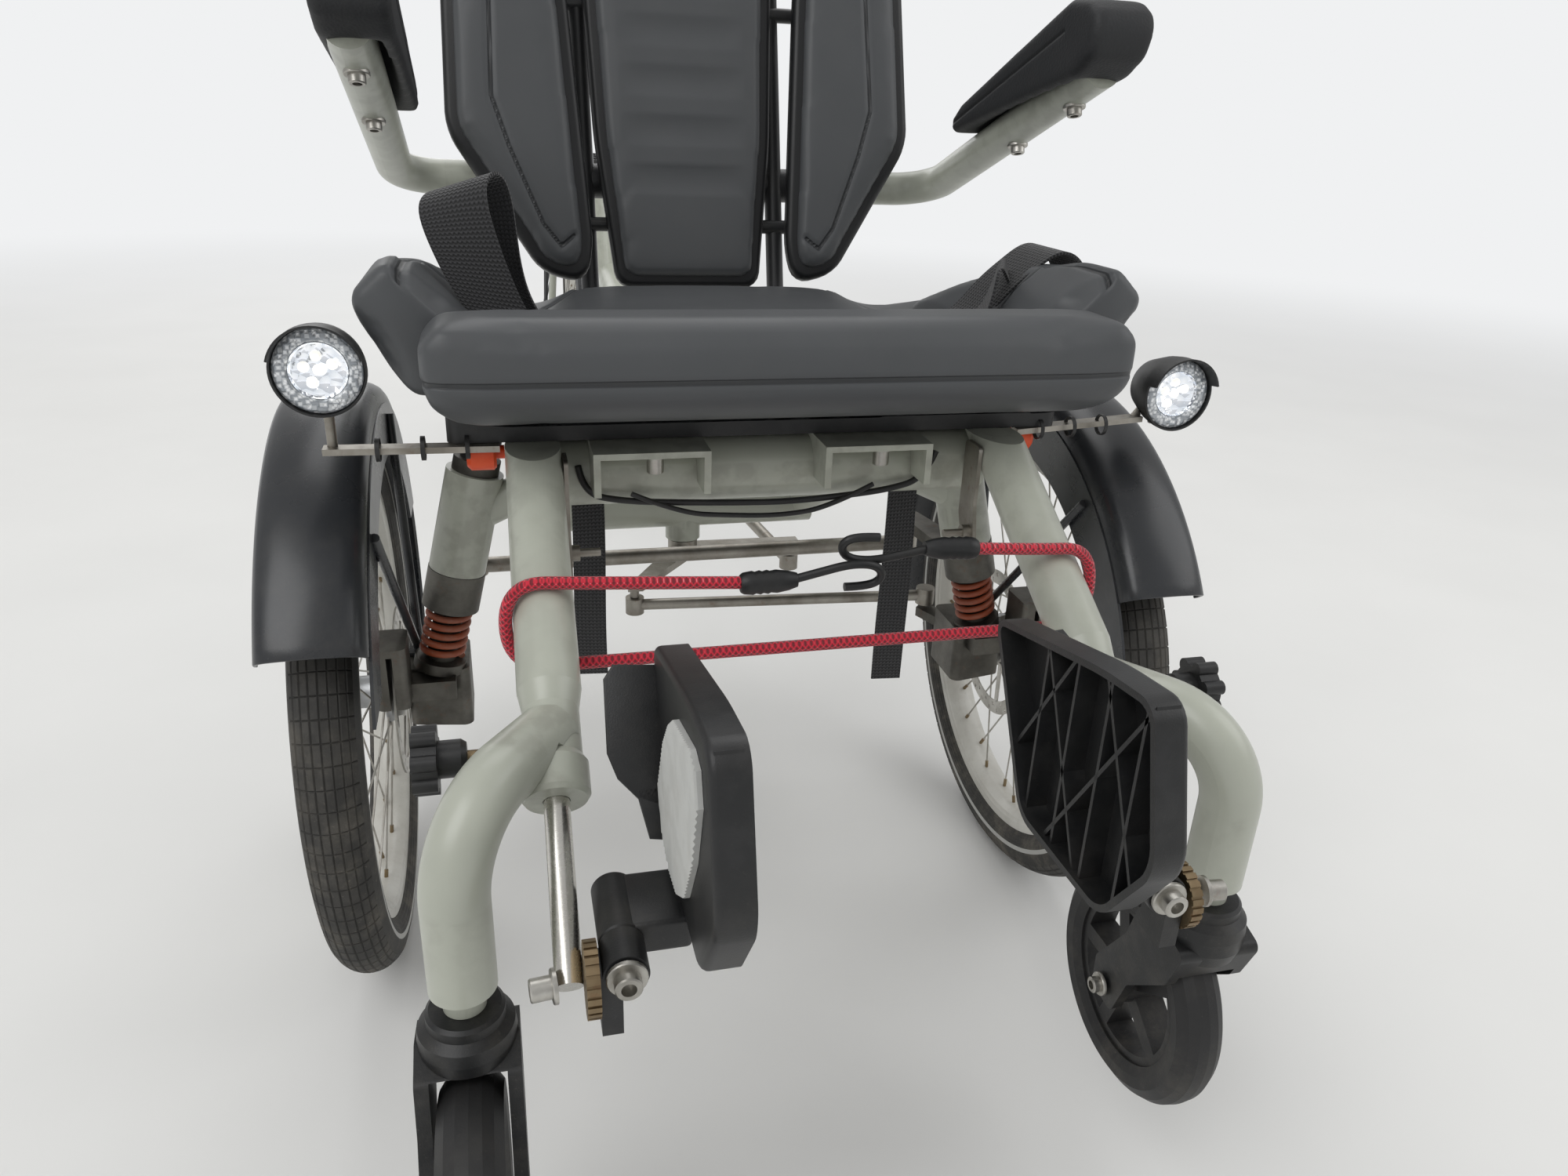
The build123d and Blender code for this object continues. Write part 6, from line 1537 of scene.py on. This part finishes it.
class OBJECT_OT_tricycle_fittings(bpy.types.Operator):
    """Bolts, caps, ties and other small fittings"""
    bl_idname = "object.tricycle_fittings"
    bl_label = "Fittings"

    def execute(self, context):
        def on_rib(face):
            spot = face.calc_center_median()
            return (abs(face.normal.z) < 0.3 and 0.009 < spot.z < 0.022
                    and int(round(atan2(spot.y, spot.x) * 24 / pi)) % 2 == 0)

        bar_y, bar_z = -190, 542.6
        for word, side in SIDES:
            # Bolt of the fold pin and the bolt through the rod's foot
            bolt_head(f"fold_bolt_{word}", at(side * FOLD_X, -543, FOLD_Z), (0, -1, 0), 0.0072, "root")
            foot = at(side * 182, LEG_FOOT_Y, LEG_FOOT_Z) + Vector((side * 0.0075, -0.004, 0.006))
            bolt_head(f"foot_bolt_{word}", foot, (side, -0.1, 0), 0.0062, "root", height=0.012)
            # Castor axle ends
            for end, out in (("out", 1), ("in", -1)):
                spot = at(side * 238 + out * 32, -476 + side * 50, 186)
                bolt_head(f"castor_bolt_{word}_{end}", spot, (out, 0, 0), 0.0058, f"caster_{word}")
            # Ribbed insert of the footplate, cut by slanting lines of which every second one is raised
            leaf = [(0.010, 0.119), (-0.038, 0.131), (-0.052, 0.128), (-0.059, 0.112), (-0.047, 0.072),
                    (-0.025, 0.035), (0.0, 0.018), (0.028, 0.014), (0.060, 0.024), (0.067, 0.042),
                    (0.046, 0.084), (0.027, 0.106)]
            insert = outline_box(f"footplate_insert_{word}", [(u, v * side) for u, v in leaf], 0.0025)
            slant = Vector((cos(RIDGE_TURN), -sin(RIDGE_TURN) * side, 0))
            with editing(insert):
                for number in range(-RIDGES, RIDGES + 1):
                    slice_by(slant * number * RIDGE_STEP, slant)
            for vertex in insert.data.vertices:
                count = vertex.co.dot(slant) / RIDGE_STEP
                if vertex.co.z > -0.0001 and abs(count - round(count)) < 0.02 and round(count) % 2:
                    vertex.co.z += RIDGE_RISE
            put(insert, axes(at(side * 122.65, PLATE_Y, FOLD_Z), (0, 1, 0), (side, 0, 0)))
            done(insert, "tread_grey", f"footplate_{word}", angle=20)
            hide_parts(f"tread_{word}")
            # Bolt under each seat bracket
            spot = at(80 if side > 0 else -92, -213, 539.5)
            bolt_head(f"bracket_bolt_{word}", spot, (0, 0, -1), 0.0062, "root", height=0.013)
            # Cap with ribs over the kingpin
            pin = Vector((-side * sin(KINGPIN_LEAN), 0, cos(KINGPIN_LEAN)))
            top = at(side * 233, -30, 430) + pin * 0.0585
            cap = turned(f"kingpin_cap_{word}", [
                (0.0, -0.001), (0.0145, -0.001), (0.0150, 0.001), (0.0150, 0.007), (0.0175, 0.009),
                (0.0178, 0.022), (0.0165, 0.024), (0.0, 0.024)])
            with editing(cap):
                choose(cap, on_rib)
                bpy.ops.mesh.inset(use_individual=True, thickness=0.0003, depth=-0.0010)
            put(cap, looking(top, pin))
            done(cap, "black_plastic", f"knuckle_{word}")
            # Ties round the lamp bars, of which the left one runs back a little
            for number in range(3):
                x = 222 + 30 * number
                y = bar_y if side < 0 else bar_y + 0.105 * (x - 200)
                tie = turned(f"tie_{word}_{number}", [
                    (0.0078, -0.0015), (0.0086, -0.0015), (0.0086, 0.0015), (0.0078, 0.0015)], 20, ring=True)
                put(tie, axes(at(side * x, y, bar_z), (0, 1, 0), (1, 0, 0)))
                done(tie, "cable_cover", "root")
        return {"FINISHED"}


class OBJECT_OT_tricycle_saddle(bpy.types.Operator):
    """Padded top of the saddle, with the seam round it"""
    bl_idname = "object.tricycle_saddle"
    bl_label = "Saddle"

    def execute(self, context):
        # Up the leaning seat post from the cranks' axle
        lean, rise = radians(20), 0.640
        base = at(0, 1270, 300) + Vector((0, sin(lean), cos(lean))) * (rise / cos(lean))
        shape = [(-18, -130), (18, -130), (52, 0), (88, 50), (98, 110), (70, 135), (-70, 135), (-98, 110),
                 (-88, 50), (-52, 0)]
        outline = [(x / 1000, y / 1000) for x, y in shape]
        pad = rounded_plate("saddle_pad", outline, 0.044, corner=(0.012, 4), rim=(0.012, 4))
        swell(pad, voxel=0.005, pressure=4.0, cap=0.004, fine=False)
        for vertex in pad.data.vertices:
            if vertex.co.z > -0.03:
                vertex.co.z -= 0.010 * max(0.0, 1 - abs(vertex.co.y + 0.01) / 0.09)
        seam(pad, lambda v: abs(v.co.z + 0.026), depth=0.001, width=0.004)
        put(pad, Matrix.Translation(base + Vector((0, 0, 0.005))))
        done(pad, "saddle_cover", "root", angle=60)
        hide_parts("saddle")
        return {"FINISHED"}


PIECES = (
    OBJECT_OT_tricycle_stage,
    OBJECT_OT_tricycle_finishes,
    OBJECT_OT_tricycle_cords,
    OBJECT_OT_tricycle_wheels,
    OBJECT_OT_tricycle_mudguards,
    OBJECT_OT_tricycle_seat,
    OBJECT_OT_tricycle_back,
    OBJECT_OT_tricycle_arm_pads,
    OBJECT_OT_tricycle_straps,
    OBJECT_OT_tricycle_lamps,
    OBJECT_OT_tricycle_footplates,
    OBJECT_OT_tricycle_fittings,
    OBJECT_OT_tricycle_saddle,
)


class VIEW3D_PT_tricycle(bpy.types.Panel):
    """Buttons for every group of pieces"""
    bl_idname = "VIEW3D_PT_tricycle"
    bl_label = "Tricycle"
    bl_space_type = "VIEW_3D"
    bl_region_type = "UI"
    bl_category = "Tricycle"

    def draw(self, context):
        layout = self.layout
        scene = context.scene
        for label in ("tread_depth", "spoke", "cord"):
            layout.prop(scene.tricycle_sizes, label)
        for label in COLOURS:
            layout.prop(scene.tricycle_colours, label)
        for piece in PIECES:
            layout.operator(piece.bl_idname)


CLASSES = (TricycleColours, TricycleSizes, *PIECES, VIEW3D_PT_tricycle)


def register():
    for made in CLASSES:
        bpy.utils.register_class(made)
    bpy.types.Scene.tricycle_colours = bpy.props.PointerProperty(type=TricycleColours)
    bpy.types.Scene.tricycle_sizes = bpy.props.PointerProperty(type=TricycleSizes)


def unregister():
    del bpy.types.Scene.tricycle_sizes
    del bpy.types.Scene.tricycle_colours
    for made in reversed(CLASSES):
        bpy.utils.unregister_class(made)


def main():
    """Make every piece."""
    register()
    for piece in PIECES:
        make = getattr(bpy.ops.object, piece.bl_idname.split(".")[1])
        if make() != {"FINISHED"}:
            raise RuntimeError(f"{piece.bl_label} didn't finish")
    free()


if __name__ == "__main__":
    main()
